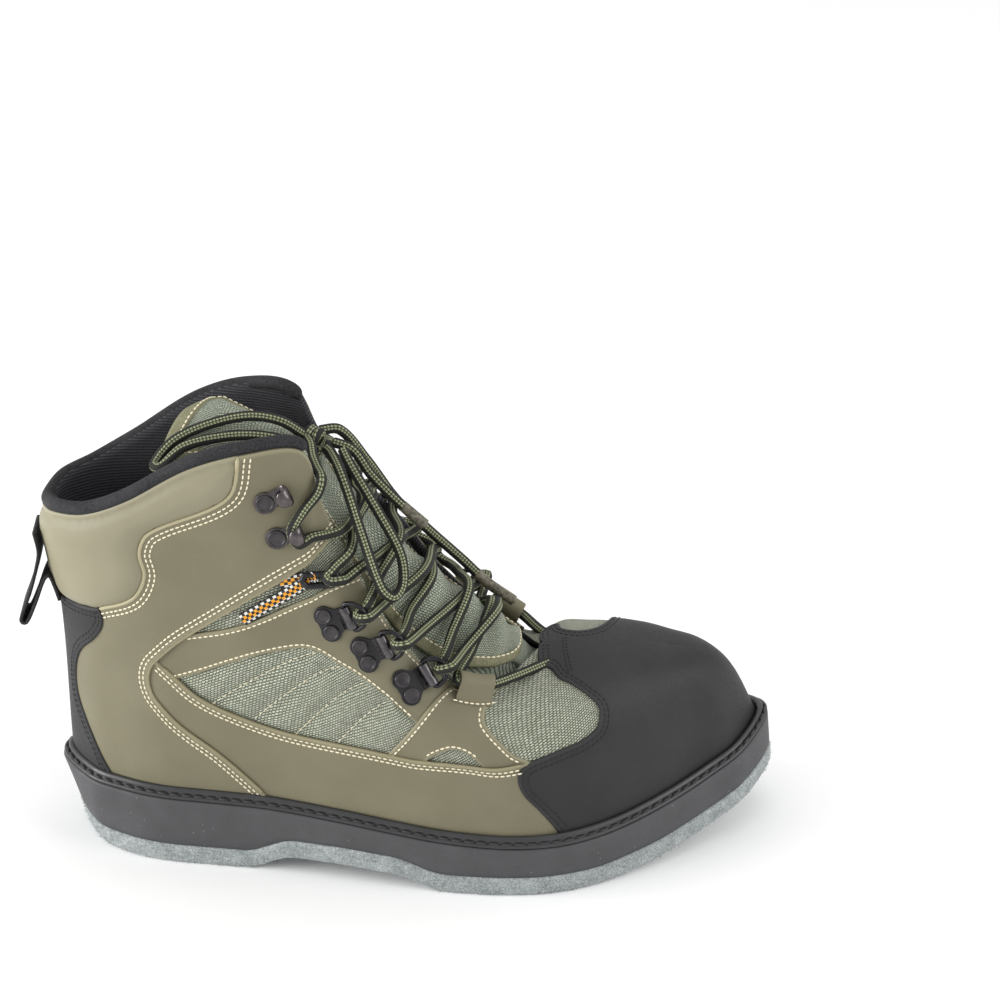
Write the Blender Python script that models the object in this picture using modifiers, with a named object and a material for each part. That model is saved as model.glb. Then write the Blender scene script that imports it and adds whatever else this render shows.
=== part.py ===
"""Right lace-up fishing boot with a felt sole, modelled as an assembly of its parts.

The tables are in millimetres and become metres through MM. +X points to the toe, +Y to the inner
(medial) side of the right foot, +Z up, and the boot stands on the floor at z = 0.
"""
import math
from collections import namedtuple

import bmesh
import bpy
import numpy as np
from mathutils import Matrix, Vector

MM = 0.001
LATERAL = -1
MEDIAL = 1
SIDES = ((LATERAL, "lateral"), (MEDIAL, "medial"))

# Driving sizes
HEEL_TIP = (-4.0, 11.0)
TOE_TIP = (317.2, 22.0)
BOX_MIDDLE = (150.18, -3.49)
FELT_THICK = 9.2
LEDGE_WIDTH = 6.6
WALL = 2.8
COLLAR_WALL = 6.0
PANEL_THICK = 1.3
PANEL_LIFT = 0.35
SEAM_GAP = 0.5
SEAT_GAP = 0.3
INSOLE_THICK = 4.0
TONGUE_THICK = 4.0
LACE_RADIUS = 2.3
LACE_CLEAR = 0.6
WIRE_RADIUS = 1.1
RIDGE_START = 0.69
COLLAR_CORNER = 0.36
FELT_INSET_LOW = 0.8
FELT_INSET_TOP = 0.3
FELT_DEPTH = 0.7
MIDSOLE_TUCK = 1.0
HEEL_UNDERCUT = 9.0
HEEL_RUN = 40.0
TOE_FLARE = 2.5
TOE_RUN = 40.0
EDGE_DROP = 1.4
EDGE_INSET = 1.2
INSOLE_CLEAR = 3.4
PAD_START = 0.62
PAD_RISE = 0.25
PAD_FADE = 0.06

# Working tolerances: steps for slopes, distances (m) for merging points, angle of a sharp edge
SLOPE_STEP = 0.004
MERGE = 1e-6
SEAM_MERGE = 2e-5
CUT_TOLERANCE = 1e-5
SHARP_ANGLE = 40.0

# Outline of the sole in plan, a row for each cross section
Plan = namedtuple("Plan", "x lateral medial")
SOLE_PLAN = (
    Plan(10, -15.0, 33.0),
    Plan(27, -25.8, 39.0),
    Plan(44, -32.4, 41.0),
    Plan(68, -36.6, 41.0),
    Plan(95, -41.0, 39.5),
    Plan(124, -48.2, 40.0),
    Plan(151, -54.8, 43.0),
    Plan(178, -60.0, 48.0),
    Plan(203, -61.5, 52.0),
    Plan(223, -58.5, 54.0),
    Plan(244, -49.5, 54.5),
    Plan(267, -35.5, 54.0),
    Plan(290, -17.5, 51.0),
    Plan(306, -3.5, 44.0),
)

# Height of the felt over the floor and of the ledge that carries the upper
Height = namedtuple("Height", "x floor_gap ledge")
HEIGHTS = (
    Height(-4, 2.5, 33.5),
    Height(12, 0.0, 33.0),
    Height(60, 0.0, 32.5),
    Height(84, 0.0, 32.0),
    Height(100, 7.5, 31.2),
    Height(124, 7.5, 29.5),
    Height(150, 6.0, 27.0),
    Height(167, 0.0, 25.4),
    Height(203, 0.0, 23.8),
    Height(240, 0.0, 25.0),
    Height(267, 4.0, 29.8),
    Height(290, 9.8, 35.6),
    Height(306, 16.0, 41.8),
    Height(318, 22.5, 48.3),
)

# Cross sections where the sole solids have their rows of points, from tip to tip
SOLE_STATIONS = (-1.6, 2, 8, 12, 20, 32, 46, 60, 72, 84, 92, 100, 112, 124, 137, 150, 158, 167, 180,
                 195, 210, 225, 240, 254, 267, 279, 290, 299, 306, 311.5, 315)

# Sections of the upper: u runs along the sole edge from heel to toe, x, y and z give the top line
# on the lateral side, heading turns the inward direction there (degrees), lean and reach shape the
# two ends of the section, and medial_x and medial_y shift the top line on the other side
Section = namedtuple("Section", "u x y z heading lean_low reach_low lean_top reach_top medial_x medial_y")
SECTIONS = (
    Section(0.000, -6.0, 2.5, 165.5, 0, -2, 0.33, -13, 0.36, 0, 0),
    Section(0.055, 0.5, -14.5, 169.5, 35, -3, 0.33, -15, 0.36, 0, 3),
    Section(0.120, 16.0, -26.0, 173.5, 62, -5, 0.33, -12, 0.36, 0, 3),
    Section(0.180, 35.0, -32.5, 183.0, 78, -6, 0.33, -8, 0.36, 0, 2),
    Section(0.250, 62.0, -36.0, 200.0, 90, -6, 0.33, -4, 0.36, 0, 1),
    Section(0.310, 87.0, -35.5, 207.5, 90, -5, 0.33, 2, 0.36, -2, 0),
    Section(0.360, 110.0, -31.0, 207.5, 90, -4, 0.33, 8, 0.36, -5, -3),
    Section(0.400, 115.5, -29.0, 189.5, 90, -3, 0.34, 14, 0.36, -1, -4),
    Section(0.440, 123.0, -30.0, 169.0, 90, -2, 0.35, 20, 0.36, 5, -4),
    Section(0.490, 135.0, -32.5, 145.0, 90, 0, 0.36, 28, 0.38, 14, -4),
    Section(0.545, 150.0, -35.5, 118.5, 90, 2, 0.38, 38, 0.40, 17, -5),
    Section(0.600, 168.0, -36.0, 99.5, 90, 4, 0.42, 55, 0.42, 18, -6),
    Section(0.645, 192.0, -30.0, 89.5, 90, 4, 0.50, 72, 0.42, 11, -8),
    Section(0.690, 214.0, -3.0, 95.0, 90, 2, 0.58, 90, 0.46, 0, 0),
    Section(0.760, 233.0, -0.5, 96.0, 90, 2, 0.58, 90, 0.50, 0, 0),
    Section(0.830, 254.0, 3.5, 92.5, 90, 6, 0.56, 90, 0.52, 0, 0),
    Section(0.900, 268.0, 7.5, 88.3, 105, 18, 0.46, 90, 0.50, 0, 0),
    Section(0.950, 270.0, 8.0, 87.6, 140, 24, 0.40, 90, 0.48, 0, 0),
    Section(1.000, 271.0, 8.3, 87.2, 180, 26, 0.38, 90, 0.46, 0, 0),
)

# Grid of the upper: stretches of u with their number of steps, and the number of steps in v
Stretch = namedtuple("Stretch", "start end steps")
GRID_STRETCHES = (
    Stretch(0.0, 0.18, 6),
    Stretch(0.18, 0.36, 4),
    Stretch(0.36, 0.60, 5),
    Stretch(0.60, 0.69, 4),
    Stretch(0.69, 0.90, 4),
    Stretch(0.90, 1.0, 3),
)
GRID_ROWS = 7

# Seams between the panels, as shares along (u) and up (v) the skin of the upper
PAD_EDGE = ((0.12, 0.655), (0.174, 0.68), (0.192, 0.74), (0.190, 0.82), (0.204, 0.865),
            (0.275, 0.87), (0.295, 0.90), (0.302, 0.985))
COUNTER_EDGE = ((0.12, 0.655), (0.125, 0.62), (0.12, 0.58), (0.10, 0.53), (0.066, 0.47), (0.048, 0.39),
                (0.046, 0.29), (0.062, 0.20), (0.088, 0.10), (0.105, 0.055))
QUARTER_FRONT = ((0.442, 0.985), (0.39, 0.80), (0.35, 0.70), (0.28, 0.60), (0.218, 0.54), (0.182, 0.49),
                 (0.165, 0.43), (0.168, 0.36), (0.19, 0.285), (0.228, 0.16), (0.262, 0.085),
                 (0.285, 0.055))
EYESTAY_TOP = ((0.231, 0.522), (0.304, 0.54), (0.358, 0.595), (0.478, 0.945), (0.484, 0.985))
EYESTAY_LOWER = ((0.514, 0.50), (0.502, 0.555), (0.455, 0.535), (0.385, 0.487), (0.344, 0.482),
                 (0.241, 0.424), (0.203, 0.405))
FOXING_TOP = ((0.203, 0.395), (0.264, 0.287), (0.32, 0.23), (0.38, 0.216), (0.449, 0.267),
              (0.522, 0.36), (0.58, 0.41), (0.618, 0.44), (0.636, 0.44))
VAMP_REAR = ((0.617, 0.985), (0.526, 0.53), (0.456, 0.28))
SMALL_WINDOW = ((0.526, 0.38), (0.552, 0.467), (0.58, 0.53), (0.60, 0.53), (0.613, 0.46))
VAMP_FRONT = ((0.644, 0.46), (0.631, 0.72), (0.631, 0.80), (0.641, 0.985))
CAP_EDGE = ((0.692, 0.985), (0.688, 0.90), (0.702, 0.78), (0.738, 0.677), (0.757, 0.576), (0.754, 0.48),
            (0.733, 0.40), (0.698, 0.357), (0.658, 0.405), (0.636, 0.40), (0.628, 0.32), (0.636, 0.20),
            (0.657, 0.055))
REAR_POINT = (0.174, 0.455)
WEBBING_LOOP = ((0.300, 0.565), (0.308, 0.55), (0.35, 0.62), (0.388, 0.685), (0.392, 0.71), (0.372, 0.712),
                (0.33, 0.655), (0.335, 0.635), (0.362, 0.675), (0.345, 0.64))
QUARTER_TOP = ((0.36, 0.985), (0.40, 0.985))
EYESTAY_THROAT = ((0.545, 0.985), (0.60, 0.985))
PANEL_FOOT = 0.055
CAP_FOOT = 0.09
PANEL_TOP = 0.985
PAST_SEAM = 0.05

# The flat pattern of a panel is gridded in a plane where u and v have these lengths
U_SPAN = 370.0
V_SPAN = 120.0

# Tongue: centre line, half width, how far its edges sag and how far the lateral edge drops
TongueRow = namedtuple("TongueRow", "x y z half_width sag drop")
TONGUE = (
    TongueRow(226, -1.0, 92.4, 13, 0.8, 0),
    TongueRow(212.5, -2.0, 87.5, 9, 1, 0),
    TongueRow(205.5, -2.0, 93.5, 7.5, 3, 0),
    TongueRow(201, -2.5, 101.5, 14, 7, 0.5),
    TongueRow(190, -3.5, 110.0, 20, 12, 3),
    TongueRow(172, -4.0, 123.0, 25, 17, 6),
    TongueRow(152, -4.0, 142.0, 26, 20, 7),
    TongueRow(132, -4.0, 165.0, 25, 18, 5),
    TongueRow(114, -3.0, 188.0, 23, 13, 4),
    TongueRow(95, 0.0, 203.0, 23, 12, 8),
    TongueRow(74, 2.0, 212.0, 22, 13, 12),
)
TONGUE_STEPS = 12
TONGUE_COLUMNS = 6

# Welt profile: distance out from the foot of the upper and height over the ledge
WeltPoint = namedtuple("WeltPoint", "out up")
WELT_PROFILE = (
    WeltPoint(1.3, 0.3),
    WeltPoint(5.8, 0.3),
    WeltPoint(6.1, 1.4),
    WeltPoint(5.2, 2.1),
    WeltPoint(4.2, 2.0),
    WeltPoint(3.9, 4.0),
    WeltPoint(2.6, 5.0),
    WeltPoint(1.4, 4.2),
)

# Pull loop at the back: distance behind the skin and height of its middle line
LoopPoint = namedtuple("LoopPoint", "behind z")
PULL_LOOP = (
    LoopPoint(3.2, 152.0),
    LoopPoint(3.2, 143.0),
    LoopPoint(6.0, 137.0),
    LoopPoint(12.5, 124.0),
    LoopPoint(18.5, 111.0),
    LoopPoint(19.0, 108.0),
    LoopPoint(16.8, 107.6),
    LoopPoint(12.0, 116.0),
    LoopPoint(6.0, 128.0),
    LoopPoint(3.2, 130.0),
    LoopPoint(3.2, 116.0),
)
PULL_LOOP_WIDTH = 19.0
PULL_LOOP_STEPS = 14
WEBBING_THICK = 1.6

# Metal fittings: place of the rivets and the point they aim at, both on the skin
Fitting = namedtuple("Fitting", "word u v aim_u aim_v")
RING_PLATES = (
    Fitting("1", 0.409, 0.629, 0.478, 0.852),
    Fitting("2", 0.475, 0.692, 0.530, 0.922),
    Fitting("3", 0.545, 0.777, 0.586, 0.961),
)
HOOKS = (
    Fitting("upper", 0.326, 0.861, 0.344, 0.882),
    Fitting("lower", 0.335, 0.769, 0.355, 0.787),
)
WEBBING_RING = Fitting("ring", 0.385, 0.70, 0.42, 0.80)
PLATE_LIFT = 2.25
HOOK_LIFT = 1.9
SLIDE_LIFT = 3.7
RIVET_RADIUS = 3.5
RIVET_SPACING = 8.0
RIVET_SIDES = 8
RIVET_CROWN = 2.6
RIVET_FOOT = 0.5
RIVET_TOP = 2.5
PLATE_THICK = 1.0
PLATE_RIM = 1.0
PLATE_NECK = 5.0
LOBE_NEAR = (55.0, -120.0)
LOBE_FAR = (-60.0, -235.0)
LOBE_STEPS = 4
CURL_WIDTH = 8.4
CURL_REACH = 9.5
CURL_GAP = 0.35
CURL_START = 6.0
CURL_END = 150.0
CURL_STEPS = 5
STRIP_INSET = 0.05
RING_TILT = 12.0
RING_WIRE = ((-5.4, 0.0), (5.4, 0.0), (6.2, 2.0), (5.4, 5.0), (3.0, 7.4), (0.0, 8.2), (-3.0, 7.4),
             (-5.4, 5.0), (-6.2, 2.0))
HOOK_REACH = 7.0
HOOK_CHANNEL = 2.7
HOOK_WIDTH = 6.0
HOOK_BASE = 4.6
HOOK_BASE_SIDES = 10
HOOK_START = 2.0
SLIDE_WIRE = ((-6.0, -2.2), (6.0, -2.2), (7.4, 0.0), (6.0, 2.2), (-6.0, 2.2), (-7.4, 0.0))

# Lace tunnel: ends on the throat edge, and its leather tube
TUNNEL_ENDS = (0.612, 0.640)
TUNNEL_LEVEL = 0.96
TUNNEL_SIDES = 10
TUNNEL_RADIUS = 3.9
TUNNEL_LEATHER = 1.0

# Places along the tongue where the lace leaves each side, from the tunnels up to the hooks
LaceLevel = namedtuple("LaceLevel", "lateral medial")
LACE_LEVELS = (
    LaceLevel(0.43, 0.32),
    LaceLevel(0.52, 0.42),
    LaceLevel(0.585, 0.50),
    LaceLevel(0.64, 0.575),
    LaceLevel(0.72, 0.70),
    LaceLevel(0.79, 0.78),
)
LACE_SPREAD = 0.8
LACE_STEP = 0.012
CROSSING_POINTS = 5
LACE_PITCH = 10.5

# Lace routes, chosen by hand
LACE_KNOT = ((110.4, 0.5, 194.9), (114.4, 3.5, 193.9), (118.4, -1.5, 192.4))
LACE_BOW_REAR = ((109.8, -1.5, 197.8), (100, -6, 206.5), (87, -7, 209), (70, -9, 206), (55, -14, 200.5),
                 (47, -20, 192.5), (50, -25, 193), (60, -20, 200.5), (77, -16, 203.5), (92, -14, 203),
                 (107.5, -7, 195.5))
LACE_BOW_FRONT = ((119.15, -2.5, 192.1), (121.9, -5.9, 191.1), (128, -25, 187), (136, -35, 165), (144, -42, 144),
                  (149, -41, 139), (153, -36, 143), (152, -30, 154), (143, -25, 171), (131, -14, 188),
                  (126.5, -6, 193.5))
LACE_END_LONG = ((115.4, 6.9, 195.5), (125, 12, 195.5), (136, 18, 181), (149, 26, 158), (163, 30, 141),
                 (178, 32, 125), (189, 32, 113), (202, 29, 104))
LACE_END_SHORT = ((121.7, 0.9, 193.2), (131, -1, 190), (139, -5, 181), (150, -8, 172), (164, -8, 162))

Finish = namedtuple("Finish", "red green blue roughness metallic")
FINISHES = {
    "felt": Finish(0.30, 0.34, 0.34, 0.95, 0.0),
    "rubber": Finish(0.045, 0.045, 0.048, 0.75, 0.0),
    "insole": Finish(0.05, 0.05, 0.05, 0.9, 0.0),
    "mesh": Finish(0.22, 0.26, 0.21, 0.9, 0.0),
    "olive": Finish(0.20, 0.185, 0.13, 0.6, 0.0),
    "pale_olive": Finish(0.36, 0.34, 0.26, 0.6, 0.0),
    "black_leather": Finish(0.05, 0.05, 0.052, 0.6, 0.0),
    "webbing": Finish(0.03, 0.03, 0.03, 0.85, 0.0),
    "gunmetal": Finish(0.12, 0.12, 0.13, 0.35, 0.9),
    "lace": Finish(0.10, 0.11, 0.08, 0.85, 0.0),
}


def smooth(knots, rows, t):
    """Value at t of a smooth curve that meets rows[i] at knots[i]."""
    last = len(knots) - 2
    i = min(max(int(np.searchsorted(knots, t, side="right")) - 1, 0), last)
    step = knots[i + 1] - knots[i]
    straight = (rows[i + 1] - rows[i]) / step
    slope_in = (rows[i + 1] - rows[i - 1]) / (knots[i + 1] - knots[i - 1]) if i > 0 else straight
    slope_out = (rows[i + 2] - rows[i]) / (knots[i + 2] - knots[i]) if i < last else straight
    s = (t - knots[i]) / step
    start = (2 * s ** 3 - 3 * s ** 2 + 1) * rows[i] + (s ** 3 - 2 * s ** 2 + s) * step * slope_in
    end = (3 * s ** 2 - 2 * s ** 3) * rows[i + 1] + (s ** 3 - s ** 2) * step * slope_out
    return start + end


HEIGHT_X = np.array([row.x for row in HEIGHTS], float)
HEIGHT_ROWS = np.array([row[1:] for row in HEIGHTS], float)
SECTION_U = np.array([row.u for row in SECTIONS], float)
SECTION_ROWS = np.array([row[1:] for row in SECTIONS], float)


def closed_outline():
    """Points of the sole outline round from the heel, repeated past the start, with their knots."""
    points = [HEEL_TIP] + [(row.x, row.lateral) for row in SOLE_PLAN] + [TOE_TIP]
    points += [(row.x, row.medial) for row in reversed(SOLE_PLAN)]
    points = np.array(points, float)
    points = np.vstack([points[-3:], points, points[:4]])
    chords = np.linalg.norm(np.diff(points, axis=0), axis=1) ** 0.8
    return points, np.concatenate([[0.0], np.cumsum(chords)])


OUTLINE, OUTLINE_KNOTS = closed_outline()
HEEL_KNOT = OUTLINE_KNOTS[3]
TOE_KNOT = OUTLINE_KNOTS[4 + len(SOLE_PLAN)]
LAST_KNOT = OUTLINE_KNOTS[5 + 2 * len(SOLE_PLAN)]


def floor_gap(x):
    """Height of the felt's underside over the floor."""
    return float(np.interp(x, HEIGHT_X, HEIGHT_ROWS[:, 0]))


def ledge(x):
    """Height of the midsole's top, where the upper and the welt stand."""
    return float(smooth(HEIGHT_X, HEIGHT_ROWS, x)[1])


def outline(side, u):
    """Sole outline in plan: u is 0 at the heel tip and 1 at the toe tip."""
    start = HEEL_KNOT if side == LATERAL else LAST_KNOT
    return smooth(OUTLINE_KNOTS, OUTLINE, start + (TOE_KNOT - start) * u)


def outline_inward(side, u):
    """Unit direction in plan from the sole outline towards the middle of the sole."""
    before = outline(side, u - SLOPE_STEP) if u > SLOPE_STEP else outline(-side, SLOPE_STEP - u)
    after = outline(side, u + SLOPE_STEP) if u < 1 - SLOPE_STEP else outline(-side, 2 - SLOPE_STEP - u)
    along = (after - before) / np.linalg.norm(after - before)
    return np.array([-along[1], along[0]]) * -side


def inset_outline(side, u, inset):
    """Sole outline moved inwards."""
    return outline(side, u) + outline_inward(side, u) * inset


def outline_at(side, x):
    """Share u where the sole outline on one side has this x."""
    low, high = 0.0, 1.0
    for _ in range(40):
        middle = (low + high) / 2
        if outline(side, middle)[0] < x:
            low = middle
        else:
            high = middle
    return (low + high) / 2


def section(side, u):
    """Four control points of the upper's section at u, from the ledge to the top line."""
    (x, y, z, heading, lean_low, reach_low, lean_top, reach_top, medial_x, medial_y) = smooth(
        SECTION_U, SECTION_ROWS, u)
    low_angle, top_angle = math.radians(lean_low), math.radians(lean_top)
    foot = inset_outline(side, u, LEDGE_WIDTH)
    foot = np.array([foot[0], foot[1], ledge(foot[0]) + SEAT_GAP + WALL * max(math.sin(low_angle), 0.0)])
    top = np.array([x, y, z])
    if side == MEDIAL and 0 < u < RIDGE_START:
        top = np.array([x + medial_x, medial_y - y, z])
    turn = math.radians(heading)
    inward_top = np.array([math.cos(turn), -side * math.sin(turn), 0.0])
    inward_low = np.append(outline_inward(side, u), 0.0)
    up = np.array([0.0, 0.0, 1.0])
    low_way = inward_low * math.sin(low_angle) + up * math.cos(low_angle)
    top_way = inward_top * math.sin(top_angle) + up * math.cos(top_angle)
    span = np.linalg.norm(top - foot)
    return foot, foot + low_way * reach_low * span, top - top_way * reach_top * span, top


def skin(side, u, v):
    """Point on the outside of the upper, v is 0 at the ledge and 1 at the top line."""
    a, b, c, d = section(side, u)
    w = 1 - v
    return w ** 3 * a + 3 * w * w * v * b + 3 * w * v * v * c + v ** 3 * d


def grid_shares():
    """Shares u and v of the grid lines of the upper."""
    along = [0.0]
    for stretch in GRID_STRETCHES:
        along += list(np.linspace(stretch.start, stretch.end, stretch.steps + 1)[1:])
    return np.array(along), np.linspace(0.0, 1.0, GRID_ROWS + 1)


GRID_U, GRID_V = grid_shares()
GRID = {side: np.array([[skin(side, u, v) for v in GRID_V] for u in GRID_U]) for side, _ in SIDES}


def grid_normals():
    """Outward normals at the grid points, averaged where the two sides meet."""
    sums = {}
    normals = {}
    for side, _ in SIDES:
        points = GRID[side]
        along = np.gradient(points, axis=0)
        up = np.gradient(points, axis=1)
        normal = np.cross(along, up) * -side
        normals[side] = normal / np.linalg.norm(normal, axis=2)[:, :, None]
        for point, way in zip(points.reshape(-1, 3), normals[side].reshape(-1, 3)):
            key = tuple(np.round(point, 3))
            sums[key] = sums.get(key, 0.0) + way
    for side, _ in SIDES:
        shape = GRID[side].shape
        mean = np.array([sums[tuple(np.round(p, 3))] for p in GRID[side].reshape(-1, 3)])
        mean[np.linalg.norm(mean, axis=1) < 0.1] = (0.0, 0.0, 1.0)
        normals[side] = (mean / np.linalg.norm(mean, axis=1)[:, None]).reshape(shape)
    return normals


NORMALS = grid_normals()


def on_grid(side, u, v):
    """Point and normal of the faceted skin, so that a panel lies along the upper's own facets."""
    i = min(max(int(np.searchsorted(GRID_U, u, side="right")) - 1, 0), len(GRID_U) - 2)
    j = min(max(int(np.searchsorted(GRID_V, v, side="right")) - 1, 0), len(GRID_V) - 2)
    s = (u - GRID_U[i]) / (GRID_U[i + 1] - GRID_U[i])
    t = (v - GRID_V[j]) / (GRID_V[j + 1] - GRID_V[j])
    values = []
    for field in (GRID[side], NORMALS[side]):
        if t <= s:
            along = (field[i + 1, j] - field[i, j]) * s
            up = (field[i + 1, j + 1] - field[i + 1, j]) * t
        else:
            along = (field[i + 1, j + 1] - field[i, j + 1]) * s
            up = (field[i, j + 1] - field[i, j]) * t
        values.append(field[i, j] + along + up)
    return values[0], values[1] / np.linalg.norm(values[1])


def metres(point):
    """Table point in the part's frame, in metres."""
    return Vector(((point[0] - BOX_MIDDLE[0]) * MM, (point[1] - BOX_MIDDLE[1]) * MM, point[2] * MM))


def clear_scene():
    """Remove every object of the open scene."""
    for old in list(bpy.data.objects):
        bpy.data.objects.remove(old, do_unlink=True)


def make_collection(name):
    """New collection in the scene."""
    made = bpy.data.collections.new(name)
    bpy.context.scene.collection.children.link(made)
    return made


def make_material(name):
    """Principled material with the colour of one finish."""
    finish = FINISHES[name]
    made = bpy.data.materials.new(name)
    made.use_nodes = True
    shader = made.node_tree.nodes["Principled BSDF"]
    shader.inputs["Base Color"].default_value = (finish.red, finish.green, finish.blue, 1.0)
    shader.inputs["Roughness"].default_value = finish.roughness
    shader.inputs["Metallic"].default_value = finish.metallic
    return made


clear_scene()
PARTS = make_collection("fishing_boot")
CUTTERS = make_collection("cutters")


def add_part(name, data, finish, matrix=None):
    """Object for one sub-part, with its own material."""
    made = bpy.data.objects.new(name, data)
    PARTS.objects.link(made)
    material = make_material(finish)
    if data.materials:
        made.material_slots[0].link = "OBJECT"
        made.material_slots[0].material = material
    else:
        data.materials.append(material)
    if matrix is not None:
        made.matrix_world = matrix
    return made


def mesh_from(name, shape):
    """Mesh data from a bmesh, which is freed."""
    data = bpy.data.meshes.new(name)
    shape.to_mesh(data)
    shape.free()
    data.shade_smooth()
    data.set_sharp_from_angle(angle=math.radians(SHARP_ANGLE))
    return data


def loft(shape, rings, closed_rings=True, cap=True):
    """Faces between rows of points, with flat caps on the first and last row."""
    rows = [[shape.verts.new(point) for point in ring] for ring in rings]
    count = len(rows[0])
    for low, high in zip(rows, rows[1:]):
        for k in range(count if closed_rings else count - 1):
            n = (k + 1) % count
            shape.faces.new((low[k], low[n], high[n], high[k]))
    if cap:
        shape.faces.new(list(reversed(rows[0])))
        shape.faces.new(rows[-1])
    return rows


def slope_in(x, depth):
    """Inset of the sole's side below the ledge: the heel slopes in and the toe flares a little."""
    heel = min(max((HEEL_TIP[0] + HEEL_RUN - x) / HEEL_RUN, 0.0), 1.0)
    toe = min(max((x - TOE_TIP[0] + TOE_RUN) / TOE_RUN, 0.0), 1.0)
    return depth * (HEEL_UNDERCUT * heel ** 2 - TOE_FLARE * toe ** 2)


def sole_ring(inset, depth, height):
    """Points round the sole at the stations, as pairs, with the height worked out from x."""
    rows = []
    for x in SOLE_STATIONS:
        pair = []
        for side, _ in SIDES:
            point = inset_outline(side, outline_at(side, x), inset + slope_in(x, depth))
            pair.append(metres((point[0], point[1], height(point[0]))))
        rows.append(pair)
    ends = []
    for u, tip in ((0.0, HEEL_TIP), (1.0, TOE_TIP)):
        point = inset_outline(LATERAL, u, inset + slope_in(tip[0], depth))
        ends.append(metres((point[0], point[1], height(point[0]))))
    return ends, rows


def sole_solid(name, finish, levels):
    """Solid through levels, each an inset, a depth below the ledge from 0 to 1 and a height."""
    shape = bmesh.new()
    tiers = []
    for inset, depth, height in levels:
        ends, rows = sole_ring(inset, depth, height)
        heel = shape.verts.new(ends[0])
        toe = shape.verts.new(ends[1])
        tiers.append((heel, [[shape.verts.new(p) for p in pair] for pair in rows], toe))
    for tier in (tiers[0], tiers[-1]):
        heel, rows, toe = tier
        shape.faces.new((heel, rows[0][0], rows[0][1]))
        for near, far in zip(rows, rows[1:]):
            shape.faces.new((near[0], far[0], far[1], near[1]))
        shape.faces.new((rows[-1][0], toe, rows[-1][1]))
    for (heel, rows, toe), (heel_up, rows_up, toe_up) in zip(tiers, tiers[1:]):
        for k in range(2):
            line = [heel] + [pair[k] for pair in rows] + [toe]
            line_up = [heel_up] + [pair[k] for pair in rows_up] + [toe_up]
            for a, b, c, d in zip(line, line[1:], line_up[1:], line_up):
                shape.faces.new((a, b, c, d))
    bmesh.ops.recalc_face_normals(shape, faces=shape.faces[:])
    return add_part(name, mesh_from(name, shape), finish)


def felt_top(x):
    """Height of the felt's top."""
    return floor_gap(x) + FELT_THICK


def build_felt_outsole():
    """One felt sheet that follows the heel step, the arch and the toe spring."""
    sole_solid("felt_outsole", "felt", (
        (FELT_INSET_LOW, 1.0, floor_gap),
        (FELT_INSET_TOP, FELT_DEPTH, felt_top),
    ))


def build_midsole():
    """Rubber midsole with a rounded top edge."""
    sole_solid("midsole", "rubber", (
        (MIDSOLE_TUCK, FELT_DEPTH, lambda x: felt_top(x) + SEAT_GAP),
        (0.0, 0.0, lambda x: ledge(x) - EDGE_DROP),
        (EDGE_INSET, 0.0, ledge),
    ))


def build_insole():
    """Insole inside the upper, on the midsole."""
    inset = LEDGE_WIDTH + WALL + INSOLE_CLEAR
    sole_solid("insole", "insole", (
        (inset, 0.0, lambda x: ledge(x) + SEAT_GAP),
        (inset, 0.0, lambda x: ledge(x) + SEAT_GAP + INSOLE_THICK),
    ))


def build_welt():
    """Storm welt: a bead against the upper and a stitched ledge, all the way round."""
    shares = [(LATERAL, u) for u in GRID_U] + [(MEDIAL, u) for u in reversed(GRID_U[1:-1])]
    rings = []
    for side, u in shares:
        way = outline_inward(side, u)
        foot = inset_outline(side, u, LEDGE_WIDTH)
        ring = []
        for point in WELT_PROFILE:
            place = foot - way * point.out
            ring.append(metres((place[0], place[1], ledge(place[0]) + point.up)))
        rings.append(ring)
    shape = bmesh.new()
    loft(shape, rings + rings[:1], cap=False)
    bmesh.ops.remove_doubles(shape, verts=shape.verts[:], dist=MERGE)
    bmesh.ops.recalc_face_normals(shape, faces=shape.faces[:])
    add_part("welt", mesh_from("welt", shape), "rubber")


def wall_share(u, v):
    """Share of the collar's wall thickness that the upper has at u, v."""
    rise = min(max((v - PAD_START) / PAD_RISE, 0.0), 1.0)
    fade = min(max((COLLAR_CORNER - u) / PAD_FADE, 0.0), 1.0)
    return (WALL + (COLLAR_WALL - WALL) * rise * fade) / COLLAR_WALL


def build_upper():
    """Hollow upper: an open skin with a wall inwards, thicker at the padded collar."""
    shape = bmesh.new()
    share_layer = shape.verts.layers.float.new("share")
    for side, _ in SIDES:
        rows = []
        for u, line in zip(GRID_U, GRID[side]):
            row = []
            for v, point in zip(GRID_V, line):
                vert = shape.verts.new(metres(point))
                vert[share_layer] = wall_share(u, v)
                row.append(vert)
            rows.append(row)
        for near, far in zip(rows, rows[1:]):
            for j in range(GRID_ROWS):
                for ring in ((near[j], far[j], far[j + 1]), (near[j], far[j + 1], near[j + 1])):
                    shape.faces.new(ring if side == LATERAL else tuple(reversed(ring)))
    bmesh.ops.remove_doubles(shape, verts=shape.verts[:], dist=MERGE)
    shares = [vert[share_layer] for vert in shape.verts]
    upper = add_part("upper", mesh_from("upper", shape), "mesh")
    group = upper.vertex_groups.new(name="wall")
    for index, share in enumerate(shares):
        group.add([index], share, "REPLACE")
    wall = upper.modifiers.new("wall", "SOLIDIFY")
    wall.thickness = COLLAR_WALL * MM
    wall.offset = -1.0
    wall.vertex_group = group.name
    wall.use_quality_normals = True


def tongue_surface(s, w):
    """Point on the tongue's outer face: s runs from toe end to top, w across from -1 to 1."""
    knots = np.linspace(0.0, 1.0, len(TONGUE))
    x, y, z, half_width, sag, drop = smooth(knots, np.array(TONGUE, float), s)
    return np.array([x, y + half_width * w, z - sag * w * w + drop * w])


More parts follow.
